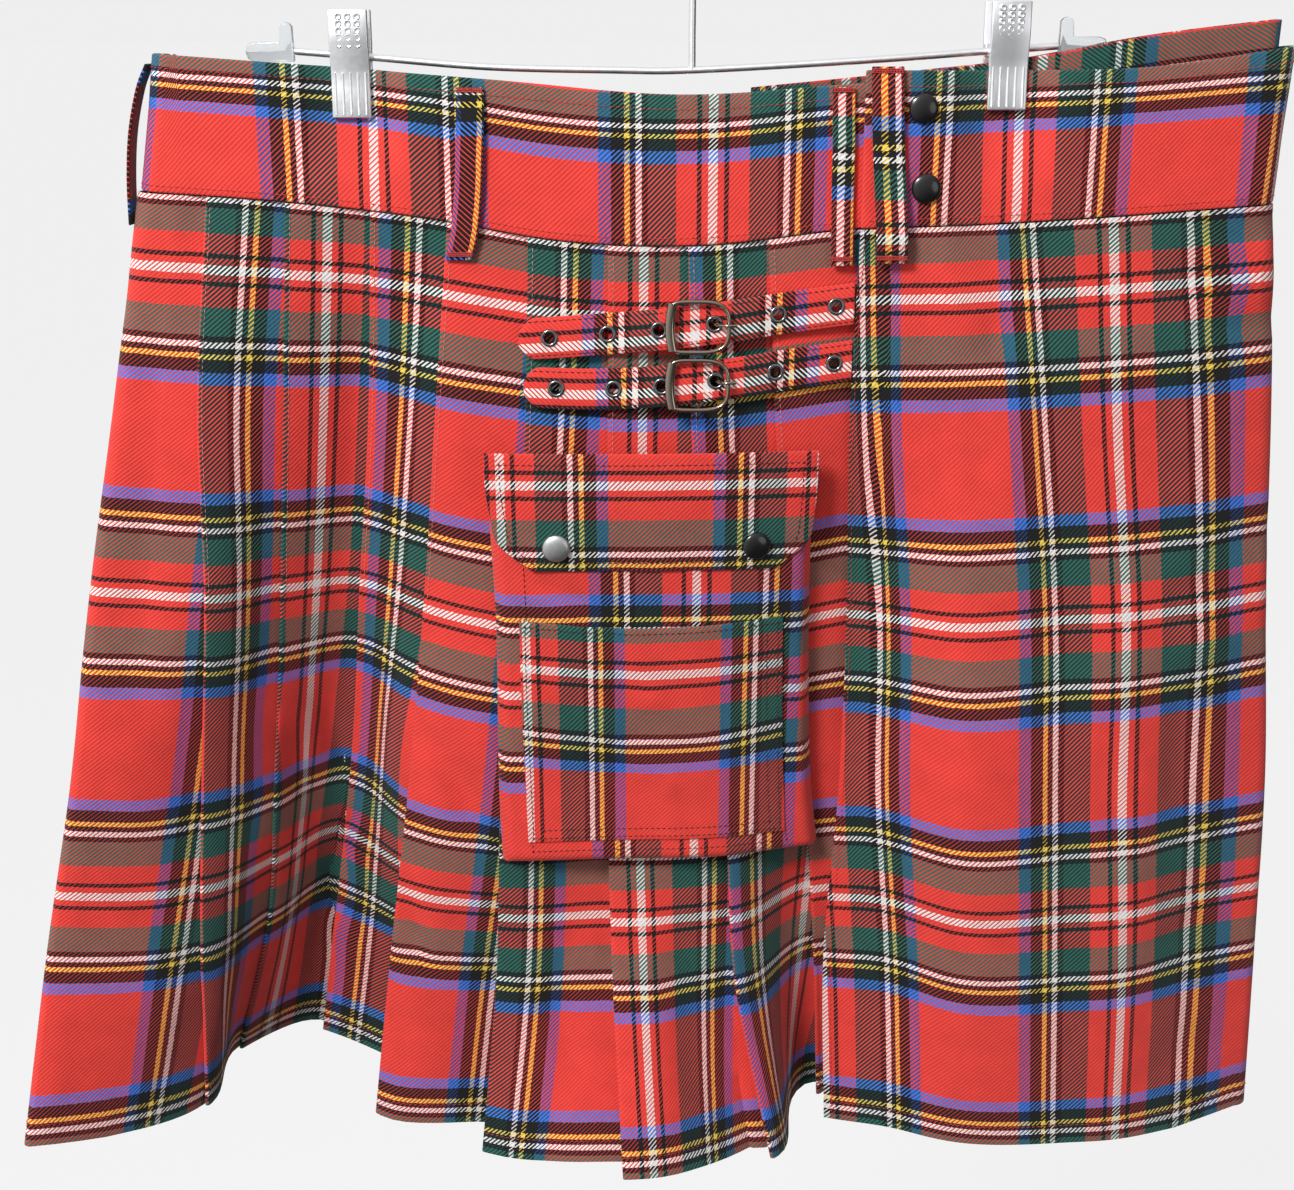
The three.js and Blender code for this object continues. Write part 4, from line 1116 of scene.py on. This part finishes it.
def on_pocket(row, lift, wall, sag, across, levels, sett, ripple):
    rows, places = [], []
    stretch = sett["stretch"]
    for r in range(levels + 1):
        t = r / levels
        left, right = between(row["left"], t), between(row["right"], t)
        line, mapped = [], []
        for c in range(across + 1):
            s = c / across
            x = mix(left, right, s)
            z = between(row["z"], t) - sag * (1 - t) * math.sin(math.pi * s)
            y = pocket_front(x, z) - lift - wall / 2 - ripple(s, t)
            line.append(Vector((x, y, z)))
            mapped.append(((x - sett["x"]) * stretch, sett["z"] - between(row["z"], t)))
        rows.append(line)
        places.append(mapped)
    return rows, places


# Soft folds down the flap: the place across, the width and the height at its lower edge
FLAP_CREASES = [(0.5, 0.12, 0.5), (0.64, 0.05, -0.6), (0.36, 0.05, -0.5)]


def flap_ripple(s, t):
    folds = sum(height * math.exp(-((s - middle) / width) ** 2) for middle, width, height in FLAP_CREASES)
    return 0.5 * math.sin(math.pi * t) + folds * t


# Soft ridges on the patch, as shares of its width and height: both ends, the width and the depth
PATCH_CREASES = [
    (0.24, 0.0, 0.34, 0.4, 0.05, 1.5),
    (0.42, 0.0, 0.5, 0.3, 0.06, 1.4),
    (0.34, 0.44, 0.56, 0.68, 0.05, 1.3),
    (0.5, 0.32, 0.8, 0.52, 0.07, 1.4),
]


def patch_ripple(s, t):
    total = 0.8 * math.sin(math.pi * s) * math.exp(-((t - 0.12) / 0.15) ** 2) + 0.3 * math.sin(math.pi * t)
    for *ends, width, depth in PATCH_CREASES:
        total += depth * math.exp(-(off_line(s, t, *ends)[1] / width) ** 2)
    return total


def sagged(grid, amount, middle, reach):
    """The same grid with the pattern's rows let down in the middle."""
    rows, places = grid
    across, levels = len(places[0]) - 1, len(places) - 1
    moved = []
    for r, line in enumerate(places):
        swing = amount * math.exp(-((r / levels - middle) / reach) ** 2)
        moved.append([(u, v - swing * math.sin(math.pi * c / across)) for c, (u, v) in enumerate(line)])
    return rows, moved


GRIDS["bag"] = bag_rows()
patch_grid = on_pocket(PATCH, SHEET_LIFT, BAG_WALL, PATCH["sag"], 48, 44, PATCH_SETT, patch_ripple)
GRIDS["patch"] = sagged(patch_grid, amount=5, middle=0.5, reach=0.22)
GRIDS["flap"] = on_pocket(FLAP, SHEET_LIFT, FLAP_WALL, 0, 44, 24, FLAP_SETT, flap_ripple)
pocket_bag = cloth_piece("pocket_bag_cloth", *GRIDS["bag"], BAG_WALL, CLOTH, "pocket_bag")
pocket_patch = cloth_piece("pocket_patch_cloth", *GRIDS["patch"], BAG_WALL, CLOTH, "pocket_patch", bevel=0.4)
pocket_flap = cloth_piece("pocket_flap_cloth", *GRIDS["flap"], FLAP_WALL, CLOTH, "pocket_flap", bevel=0.5)

# %% [markdown]
# ## Sewing
# A stitch is a short rounded thread; a geometry nodes tree repeats it along each seam line.

# %% Stitch tree
def stitch_tree():
    tree = bpy.data.node_groups.new("stitches", "GeometryNodeTree")
    face = tree.interface
    face.new_socket("Seams", in_out="INPUT", socket_type="NodeSocketGeometry")
    sizes = {}
    for label in ("Pitch", "Length", "Thickness"):
        sizes[label] = face.new_socket(label, in_out="INPUT", socket_type="NodeSocketFloat").identifier
    thread = face.new_socket("Thread", in_out="INPUT", socket_type="NodeSocketMaterial").identifier
    face.new_socket("Stitches", in_out="OUTPUT", socket_type="NodeSocketGeometry")
    make = tree.nodes.new
    start, end = make("NodeGroupInput"), make("NodeGroupOutput")
    spaced = make("GeometryNodeCurveToPoints")
    spaced.mode = "LENGTH"
    lump = make("GeometryNodeMeshUVSphere")
    for label, value in (("Segments", 6), ("Rings", 4), ("Radius", 0.5)):
        lump.inputs[label].default_value = value
    size = make("ShaderNodeCombineXYZ")
    put = make("GeometryNodeInstanceOnPoints")
    real = make("GeometryNodeRealizeInstances")
    paint = make("GeometryNodeSetMaterial")
    for source, given, target, taken in (
            (start, "Seams", spaced, "Curve"), (start, "Pitch", spaced, "Length"),
            (spaced, "Points", put, "Points"), (spaced, "Rotation", put, "Rotation"),
            (lump, "Mesh", put, "Instance"), (start, "Thickness", size, "X"),
            (start, "Thickness", size, "Y"), (start, "Length", size, "Z"), (size, "Vector", put, "Scale"),
            (put, "Instances", real, "Geometry"), (real, "Geometry", paint, "Geometry"),
            (start, "Thread", paint, "Material"), (paint, "Geometry", end, "Stitches")):
        tree.links.new(source.outputs[given], target.inputs[taken])
    return tree, sizes, thread


STITCHES, STITCH_SIZES, STITCH_THREAD = stitch_tree()


def curve_of(name, lines):
    """A curve of straight runs through lines of points in millimetres."""
    curve = bpy.data.curves.new(name, "CURVE")
    curve.dimensions = "3D"
    for line in lines:
        spline = curve.splines.new("POLY")
        spline.points.add(len(line) - 1)
        for target, p in zip(spline.points, line):
            target.co = (*(v * MM for v in p), 1)
    return curve


def stitch_lines(name, lines, material, pitch=3.2, length=2.2, thickness=0.55):
    """Rows of stitches along lines of points in millimetres."""
    guide = placed(name, curve_of(name, lines))
    sewing = guide.modifiers.new("stitches", "NODES")
    sewing.node_group = STITCHES
    for label, value in (("Pitch", pitch), ("Length", length), ("Thickness", thickness)):
        sewing[STITCH_SIZES[label]] = value * MM
    sewing[STITCH_THREAD] = material
    mesh = evaluated(guide)
    bpy.data.objects.remove(guide)
    piece = placed(name, mesh)
    mesh.shade_smooth()
    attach(piece, "root")
    print(name, len(mesh.polygons), "faces")


def lifted(grid, r, c, lift):
    """A grid's point moved outwards from its face."""
    rows, _ = grid
    last_r, last_c = len(rows) - 1, len(rows[0]) - 1
    across = rows[r][min(c + 1, last_c)] - rows[r][max(c - 1, 0)]
    down = rows[min(r + 1, last_r)][c] - rows[max(r - 1, 0)][c]
    return rows[r][c] + down.cross(across).normalized() * lift


def down_line(grid, c, lift, first, last):
    return [lifted(grid, r, c, lift) for r in range(first, last + 1)]


def across_line(grid, r, lift, first, last):
    return [lifted(grid, r, c, lift) for c in range(first, last + 1)]


# %% Seam lines
CLOTH_OUT = CLOTH_WALL / 2 + 0.2
BAND_OUT = BAND_WALL / 2 + 0.12
SHEET_OUT = 0.85
FLAP_OUT = 0.95
PLEAT_SEWN = 36
HEM_ROW = SKIRT_ROWS - 2
APRON_HEM_END = 70
BAND_SEAM_ROWS = (1, 15)
BAG_SEAM = {"left": 13, "right": 51, "bottom": 66}

skirt_grid, apron_grid = GRIDS["skirt_front"], GRIDS["apron"]
lead, rest = front_columns(0)
pleat_edges = [len(lead) + i for i, (_, _, mark) in enumerate(rest) if mark == "stitch"]
stitch_lines("pleat_stitches", [down_line(skirt_grid, c, CLOTH_OUT, 1, PLEAT_SEWN) for c in pleat_edges],
             PALE_THREAD, thickness=0.42)
hems = [across_line(skirt_grid, HEM_ROW, CLOTH_OUT, c, c + PANEL_STEPS) for c in pleat_edges]
hems.append(across_line(skirt_grid, HEM_ROW, CLOTH_OUT, 1 + TURN_STEPS // 2, len(lead)))
stitch_lines("front_hem_stitches", hems, RED_THREAD)
stitch_lines("apron_stitches", [down_line(apron_grid, 1, CLOTH_OUT, 1, SKIRT_ROWS - 1),
                                across_line(apron_grid, HEM_ROW, CLOTH_OUT, 1, APRON_HEM_END)], RED_THREAD)
for name in ("front", "apron", "back"):
    grid = GRIDS[f"band_{name}"]
    last = len(grid[0][0]) - 2
    stitch_lines(f"band_{name}_stitches", [across_line(grid, r, BAND_OUT, 1, last) for r in BAND_SEAM_ROWS],
                 RED_THREAD)

# %% Bar tacks and strap edges
# Each front loop is held by a bar of close stitches near both ends
TACK = {"places": (0.035, 0.955), "rows": (-0.6, 0.2, 1.0), "lift": 0.9, "in": 1}
STRAP_SEAM = {"level": 0.82, "lift": 0.25, "first": 6, "last": 1, "count": 40}
tacks = []
for side, row in FRONT_LOOPS.items():
    face = band_face("apron" if side == "apron" else "front") - LOOP_WALL
    reach = row["half"] - TACK["in"]
    for t in TACK["places"]:
        x, z = between(row["x"], t), between(row["z"], t)
        y = face - between(row["lift"], t) - TACK["lift"]
        tacks += [[Vector((x + end, y, z + dz)) for end in (-reach, reach)] for dz in TACK["rows"]]
stitch_lines("loop_tacks", tacks, RED_THREAD, pitch=1.3, length=1.8, thickness=0.8)


def strap_seam(row, level):
    first, last = row["left"] + STRAP_SEAM["first"], row["right"] - STRAP_SEAM["last"]
    line = []
    for i in range(STRAP_SEAM["count"]):
        x = mix(first, last, i / (STRAP_SEAM["count"] - 1))
        z = strap_z(row, x)
        y = strap_y(x, z) - STRAP["wall"] / 2 - STRAP_SEAM["lift"]
        line.append(Vector((x, y, z + level * STRAP["half"])))
    return line


seams = [strap_seam(row, side * STRAP_SEAM["level"]) for row in STRAPS.values() for side in (-1, 1)]
stitch_lines("strap_stitches", seams, DARK_THREAD)


# %% Stitches round the pocket's sheets
def frame_lines(grid, lift, inset, top=False):
    """Lines round a sheet's edge, some columns and rows in from it."""
    rows = grid[0]
    last_r, last_c = len(rows) - 1 - inset, len(rows[0]) - 1 - inset
    lines = [down_line(grid, inset, lift, inset, last_r), down_line(grid, last_c, lift, inset, last_r),
             across_line(grid, last_r, lift, inset, last_c)]
    if top:
        lines.append(across_line(grid, inset, lift, inset, last_c))
    return lines


stitch_lines("patch_stitches", [*frame_lines(GRIDS["patch"], SHEET_OUT, 1, True),
                                *frame_lines(GRIDS["patch"], SHEET_OUT, 3)], DARK_THREAD)
stitch_lines("flap_stitches", frame_lines(GRIDS["flap"], FLAP_OUT, 2, True), DARK_THREAD)
bag = GRIDS["bag"]
left, right, bottom = BAG_SEAM.values()
bag_lines = [down_line(bag, c, SHEET_OUT, 1, bottom) for c in (left, right)]
stitch_lines("bag_stitches", [*bag_lines, across_line(bag, bottom, SHEET_OUT, left, right)], DARK_THREAD)

# %% [markdown]
# ## Metal pieces
# Snaps and eyelets are turned from short profiles; buckles, prongs and the hanger are bent wire.

# %% Turned and bent shapes
FINISHES = {
    "hanger_metal": CHROME,
    "hanger_clear": CLEAR,
    "buckle_gunmetal": GUNMETAL,
    "eyelet_nickel": NICKEL,
    "snap_black": LACQUER,
    "snap_silver": SILVER,
}


def hard_piece(name, mesh, node, slot, sharp=35):
    piece = placed(name, mesh)
    mesh.materials.clear()
    mesh.materials.append(FINISHES[slot])
    smoothed(mesh, sharp)
    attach(piece, "root")
    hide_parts(node)
    return piece


def clean_mesh(mesh):
    work = bmesh.new()
    work.from_mesh(mesh)
    bmesh.ops.remove_doubles(work, verts=work.verts, dist=1e-6)
    bmesh.ops.recalc_face_normals(work, faces=work.faces)
    work.to_mesh(mesh)
    work.free()


def turned(name, profile, centre, turn, node, slot, segments=40):
    """A profile of (radius, depth) turned about the depth axis, its front towards the viewer."""
    place = Matrix.Translation(Vector(centre)) @ Matrix.Rotation(turn, 4, "Z")
    points, faces = [], []
    for radius, depth in profile:
        for k in range(segments):
            angle = 2 * math.pi * k / segments
            points.append(place @ Vector((radius * math.cos(angle), depth, radius * math.sin(angle))))
    for a in range(0, (len(profile) - 1) * segments, segments):
        for k in range(segments):
            n = (k + 1) % segments
            faces.append((a + k, a + n, a + segments + n, a + segments + k))
    mesh = mesh_of(name, points, faces)
    piece = hard_piece(name, mesh, node, slot)
    clean_mesh(mesh)
    return piece


def wire(name, points, radius, node, slot, closed=False):
    """A bent wire through points, as a curve's tube turned into a mesh."""
    curve = curve_of(name, [points])
    curve.bevel_depth = radius * MM
    curve.bevel_resolution = 6
    curve.use_fill_caps = True
    curve.splines[0].use_cyclic_u = closed
    guide = placed(name, curve)
    mesh = evaluated(guide)
    bpy.data.objects.remove(guide)
    return hard_piece(name, mesh, node, slot, 50)


def tilt(face_at, x, z):
    return math.atan2(face_at(x + 5, z) - face_at(x - 5, z), 10)


def smooth_points(points, steps):
    axes = list(zip(*points))
    count = (len(points) - 1) * steps
    return [Vector([between(list(axis), i / count) for axis in axes]) for i in range(count + 1)]


def joined(name, pieces):
    """Several meshes as one piece; the first one's calls hold."""
    bpy.ops.object.select_all(action="DESELECT")
    for piece in pieces:
        piece.select_set(True)
    bpy.context.view_layer.objects.active = pieces[0]
    bpy.ops.object.join()
    pieces[0].name = name
    return pieces[0]


# %% Snaps and eyelets
SNAP = {"radius": 7.4, "height": 3, "brim": 0.9}
WAIST_SNAPS = {"upper": (115, -113), "lower": (118, -152)}
POCKET_SNAPS = {"left": (-71, "snap_silver"), "right": (36, "snap_black")}


def snap_profile():
    r, h, brim = SNAP["radius"], SNAP["height"], SNAP["brim"]
    angles = [math.pi / 2 * k / 9 for k in range(9)]
    dome = [(r * math.cos(a), -brim - (h - brim) * math.sin(a)) for a in angles]
    return [(0.001, 0), (r * 0.97, 0), (r, -0.3), (r, -0.75), *dome, (0.001, -h)]


for name, (x, z) in WAIST_SNAPS.items():
    turned(f"waist_snap_{name}_cap", snap_profile(), (x, band_face("apron"), z), 0, f"waist_snap_{name}",
           "snap_black")
for name, (x, slot) in POCKET_SNAPS.items():
    y = pocket_front(x, SNAP_Z) - SHEET_LIFT - FLAP_WALL - 0.2 - POCKET["snap_lift"]
    turned(f"pocket_snap_{name}_cap", snap_profile(), (x, y, SNAP_Z), tilt(pocket_front, x, SNAP_Z),
           f"pocket_snap_{name}", slot)

EYELET = {"hole": 2.5, "barrel": 2.9, "lip": 3.65, "roll": 0.95, "height": 0.85}


def eyelet_profile():
    face = -STRAP["wall"] / 2
    hole, barrel = EYELET["hole"], EYELET["barrel"]
    rim = [(EYELET["lip"] + EYELET["roll"] * math.cos(a), face - 0.25 - EYELET["height"] * math.sin(a))
           for a in (math.pi * k / 8 for k in range(9))]
    return [(hole, 1), (barrel, 1), (barrel, face - 0.2), *rim, (hole, face + 0.2), (hole, 1)]


for name, row in STRAPS.items():
    for i, x in enumerate(row["eyelets"]):
        z = strap_z(row, x)
        turned(f"eyelet_{name}_{i + 1}_ring", eyelet_profile(), (x, strap_y(x, z), z), tilt(strap_y, x, z),
               f"eyelet_{name}_{i + 1}", "eyelet_nickel", 32)

# %% Buckles and prongs
BUCKLE = {"left": 16, "right": 15.5, "half": 13, "wire": 1.15, "front": 4.6, "bar": 1,
          "grip": 1.5, "leg": 12.6}
# How square the frame's left, right and level sides are
SQUARE = {"left": 0.34, "right": 0.75, "level": 0.56}
BUCKLE_Z = {"upper": -221.2, "lower": -251.4}
PRONG = {"wire": 0.85, "hole": 3}


def buckle_outline(front, z):
    points = []
    for k in range(96):
        angle = 2 * math.pi * k / 96
        c, s = math.cos(angle), math.sin(angle)
        side = "right" if c > 0 else "left"
        x = BUCKLE_X + math.copysign(BUCKLE[side] * abs(c) ** SQUARE[side], c)
        points.append((x, front, z + math.copysign(BUCKLE["half"] * abs(s) ** SQUARE["level"], s)))
    return points


for name, z in BUCKLE_Z.items():
    made = (f"buckle_{name}", "buckle_gunmetal")
    y = strap_y(BUCKLE_X, z)
    front = y - BUCKLE["front"]
    behind = y + STRAP["wall"] / 2 + SEAM_GAP + BUCKLE["bar"]
    ring = wire(f"buckle_{name}_frame", buckle_outline(front, z), BUCKLE["wire"], *made, True)
    left = BUCKLE_X - BUCKLE["left"] + 1.2
    spine = [(left + 0.9 * (k / 6) ** 2, front, z + BUCKLE["half"] * k / 6.4) for k in range(-6, 7)]
    grip = wire("grip", spine, BUCKLE["grip"], *made)
    for vertex in grip.data.vertices:
        vertex.co.x = left * MM + (vertex.co.x - left * MM) * 1.7
    legs = []
    for level in (z - BUCKLE["leg"], z + BUCKLE["leg"]):
        legs.append(wire("leg", [(BUCKLE_X, front, level), (BUCKLE_X, behind, level)], BUCKLE["bar"], *made))
    middle = wire("middle", [(BUCKLE_X, behind, z + side * 12.9) for side in (-1, 1)], BUCKLE["bar"], *made)
    joined(f"buckle_{name}_frame", [ring, grip, *legs, middle])
    row = STRAPS[name]
    hole = row["eyelets"][PRONG["hole"]]
    z = strap_z(row, hole)
    hole_y = strap_y(hole, z)
    rim = front - BUCKLE["wire"] - SEAM_GAP - 0.75
    bend = [(BUCKLE_X + 2.2, y + 2.35, z), (hole - 2.6, hole_y + 2.15, z), (hole - 0.9, hole_y + 1, z),
            (hole, hole_y - 0.8, z), (hole + 1.1, hole_y - 2.9, z), (BUCKLE_X + 14, rim, z),
            (BUCKLE_X + 19.5, rim, z)]
    wire(f"prong_{name}_pin", smooth_points(bend, 6), PRONG["wire"], f"prong_{name}", "buckle_gunmetal")

# %% Hanger
ROD = {"radius": 1.75,
       "x": (-198.7, -159, -102, -40, 0, 83, 147, 182.7), "z": (-86, -89, -93.5, -95, -95, -90.5, -86, -83.5)}
HOOK = {"radius": 21, "start": -25, "end": 200, "stem": [(0, 0, -95), (0, 0, -70), (1, 0, -52), (9, 0, -38)]}
rod_line = [(x, 0, z) for x, z in zip(ROD["x"], ROD["z"])]
rod = wire("hanger_wire", smooth_points(rod_line, 8), ROD["radius"], "hanger_rod", "hanger_metal")
crook = list(HOOK["stem"])
for i in range(21):
    angle = math.radians(mix(HOOK["start"], HOOK["end"], i / 20))
    height = ROD["radius"] - HOOK["radius"] * (1 - math.sin(angle))
    crook.append((HOOK["radius"] * math.cos(angle), 0, height))
hook = wire("hook", smooth_points(crook, 4), ROD["radius"], "hanger_rod", "hanger_metal")
joined("hanger_wire", [rod, hook])


def extruded(name, outline, start, depth, place, node, slot, bevel):
    """A flat outline pushed through a depth, its edges rounded; place maps (a, b, depth) to the frame."""
    count = len(outline)
    points = [place(a, b, d) for d in (start, start + depth) for a, b in outline]
    faces = [tuple(range(count)), tuple(range(2 * count - 1, count - 1, -1))]
    faces += [(k, (k + 1) % count, count + (k + 1) % count, count + k) for k in range(count)]
    mesh = mesh_of(name, points, faces)
    clean_mesh(mesh)
    piece = hard_piece(name, mesh, node, slot)
    rounded(piece, bevel, 3, 40)
    bake(piece, 40)
    return piece


# %% Clear ends and clips
CLEAR_ENDS = {"left": (-199, -1, -86), "right": (183, 1, -83.5)}
CLEAR_OUTLINE = [(0, -5), (20, -5), (22.8, -3.8), (24, 0), (22.8, 3.4), (20, 4.5), (7, 4.5), (6.5, 12),
                 (5.2, 13.5), (3.5, 14), (1.8, 13.5), (0.5, 12)]
for side, (inner, outward, z) in CLEAR_ENDS.items():
    extruded(f"hanger_end_{side}_clear", CLEAR_OUTLINE, -3, 6,
             lambda a, b, d: (inner + outward * a, d, z + b), f"hanger_end_{side}", "hanger_clear", 0.8)

CLIPS = {
    "left": {"x": CLIP_X["left"], "rod": -88.2, "inner": 3.55, "top": -66, "bottom": -118},
    "right": {"x": CLIP_X["right"], "rod": -85.3, "inner": 7.05, "top": -62, "bottom": -114},
}
CLIP = {"wall": 2.4, "half": 9.75, "ear": 1.6, "ear_half": 3}
DIMPLE = [(0.001, 0.5), (1.5, 0.3), (1.9, -0.15), (1.3, -0.5), (0.7, -0.3), (0.001, -0.25)]
DIMPLES = {"rows": 5, "pitch_x": 4.6, "pitch_z": 3.3, "top": 3.4}
RIBS = {"pitch": 3.8, "radius": 0.75, "bottom": 1.5, "top": 8}


def plate_outline(place):
    inner, outer, rod_z = place["inner"], place["inner"] + CLIP["wall"], place["rod"]
    return [(inner, place["bottom"]), (outer + 1, place["bottom"]), (outer, place["bottom"] + 14),
            (outer, rod_z - 4), (outer + 2.2, rod_z + 6), (outer + 1.6, place["top"]),
            (inner + 1.4, place["top"]), (inner + 1.8, rod_z + 6), (inner, rod_z - 4)]


def front_marks(place, node):
    """Rows of small dimples above, and ribs down the lower half, on the plate that faces the viewer."""
    x, outer = place["x"], place["inner"] + CLIP["wall"]
    marks = []
    for r in range(DIMPLES["rows"]):
        for c in (-1, 0, 1):
            spot = (x + DIMPLES["pitch_x"] * c, -(outer + 1.9) + 0.15 + 0.02 * r,
                    place["top"] - DIMPLES["top"] - DIMPLES["pitch_z"] * r)
            marks.append(turned("dimple", DIMPLE, spot, 0, node, "hanger_metal", 12))
    low, high = place["bottom"] + RIBS["bottom"], place["rod"] - RIBS["top"]
    for c in range(-2, 3):
        at_x = x + RIBS["pitch"] * c
        line = [(at_x, -outer - 0.9, low), (at_x, -outer + 0.3, low + 13), (at_x, -outer + 0.3, high)]
        marks.append(wire("rib", line, RIBS["radius"], node, "hanger_metal"))
    return marks


for side, place in CLIPS.items():
    x, rod_z = place["x"], place["rod"]
    near, far = ROD["radius"] + SEAM_GAP, place["inner"] + 1.6
    low, high = rod_z - CLIP["ear_half"], rod_z + CLIP["ear_half"]
    ear = [(near, low), (far, low), (far, high), (near, high)]
    for face, sign in (("front", -1), ("back", 1)):
        node = f"clip_{side}_{face}"
        made = (lambda a, b, d: (x + d, sign * a, b), node, "hanger_metal")
        plate = extruded(f"{node}_plate", plate_outline(place), -CLIP["half"], 2 * CLIP["half"], *made, 0.7)
        ears = [extruded("ear", ear, end * 8.95 - 0.8, CLIP["ear"], *made, 0.3) for end in (-1, 1)]
        marks = front_marks(place, node) if sign < 0 else []
        joined(f"{node}_plate", [plate, *ears, *marks])
print("metal pieces made")

# %% [markdown]
# ## Cut sizes
# Each sheet's cut is what shows of it here, without its turned hems.

# %% Sheets
def flat_size(name):
    """Width and length of a grid laid flat, in metres, and its area."""
    rows, _ = GRIDS[name]
    width = max(lengths_along(row)[-1] for row in rows)
    length = max(lengths_along([row[c] for row in rows])[-1] for c in range(0, len(rows[0]), 5))
    area = 0
    for a, b in zip(rows, rows[1:]):
        la, lb = lengths_along(a)[-1], lengths_along(b)[-1]
        drop = sum((q - p).length for p, q in zip(a, b)) / len(a)
        area += (la + lb) / 2 * drop
    return (width * MM, length * MM), area * MM * MM


SHEETS = (
    (skirt_front, "skirt_front"),
    (skirt_back, "skirt_back"),
    (apron, "apron"),
    (under_apron, "under_apron"),
    (bands["front"], "band_front"),
    (bands["apron"], "band_apron"),
    (bands["back"], "band_back"),
    (bands["under"], "band_under"),
    (pocket_bag, "bag"),
    (pocket_patch, "patch"),
    (pocket_flap, "flap"),
)
for piece, name in SHEETS:
    flat, area = flat_size(name)
    print("cut of", name, [round(v, 3) for v in flat], "area", round(area, 4))
    min(area, flat[0] * flat[1])

# %% [markdown]
# ## Floor, light and camera
# The floor is plain and pale, the light is soft, and the camera looks down on the kilt by 17.5 degrees.

# %% Stage
PALE = 0.86
# What the cloth and the metal see is lighter above and to the left
ROOM = {"strength": 0.8, "up": 0.42, "across": -0.4, "middle": 0.36}
ROOM_SHADES = ((0.12, (0.1, 0.1, 0.11, 1)), (0.62, (1, 1, 1, 1)))
FLOOR_HALF = 300
FLOOR_Z = -2.4
world = bpy.data.worlds.new("soft room")
bpy.context.scene.world = world
world.use_nodes = True
sky = Nodes(world.node_tree)
seen = sky.tree.nodes["Background"]
seen.inputs[0].default_value = (PALE, PALE, PALE, 1)
around = sky.node("ShaderNodeBackground")
around.inputs[1].default_value = ROOM["strength"]
towards = sky.node("ShaderNodeTexCoord")
split = sky.node("ShaderNodeSeparateXYZ")
sky.link(towards.outputs["Generated"], split.inputs[0])
up = sky.math("MULTIPLY_ADD", split.outputs[2], ROOM["up"], ROOM["middle"])
fade = sky.node("ShaderNodeValToRGB")
sky.link(sky.math("MULTIPLY_ADD", split.outputs[0], ROOM["across"], up), fade.inputs[0])
sky.link(fade.outputs[0], around.inputs[0])
for point, (place, shade) in zip(fade.color_ramp.elements, ROOM_SHADES):
    point.position = place
    point.color = shade
path = sky.node("ShaderNodeLightPath")
either = sky.node("ShaderNodeMixShader")
for source, target in ((path.outputs["Is Camera Ray"], 0), (around.outputs[0], 1), (seen.outputs[0], 2)):
    sky.link(source, either.inputs[target])
sky.link(either.outputs[0], sky.tree.nodes["World Output"].inputs[0])
bpy.context.scene.view_settings.view_transform = "Standard"

floor_mesh = bpy.data.meshes.new("floor")
corners = [(x * FLOOR_HALF, y * FLOOR_HALF, FLOOR_Z) for x, y in ((-1, -1), (1, -1), (1, 1), (-1, 1))]
floor_mesh.from_pydata(corners, [], [(0, 1, 2, 3)])
floor = placed("floor", floor_mesh)
pale_floor = plain("pale floor", (150, 150, 150), 0.0, 1.0, Emission_Strength=0.66)
pale_floor.set(Emission_Color=(1, 1, 1, 1), Specular_IOR_Level=0.0)
floor_mesh.materials.append(pale_floor.material)
# The floor throws no light on the kilt and isn't mirrored in its metal
floor.visible_diffuse = False
floor.visible_glossy = False


def lamp(name, place, size, power):
    """A round lamp that looks at the middle of the kilt."""
    light = bpy.data.lights.new(name, "AREA")
    light.shape = "DISK"
    light.size = size
    light.energy = power
    holder = placed(name, light)
    holder.location = place
    holder.rotation_euler = (Vector((0, 0, -0.4)) - Vector(place)).to_track_quat("-Z", "Y").to_euler()


lamp("key", (-0.9, -1.4, 0.9), 0.5, 40)
lamp("fill", (1.5, -1.9, -0.1), 1.2, 5)

# %% Camera
camera_data = bpy.data.cameras.new("camera")
camera_data.sensor_width = 36
camera_data.lens = 50.08
camera_data.clip_start = 0.01
camera = placed("camera", camera_data)
camera.location = (-0.0226, -0.940, -0.0746)
camera.rotation_euler = (math.radians(72.5), 0, 0)
bpy.context.scene.camera = camera
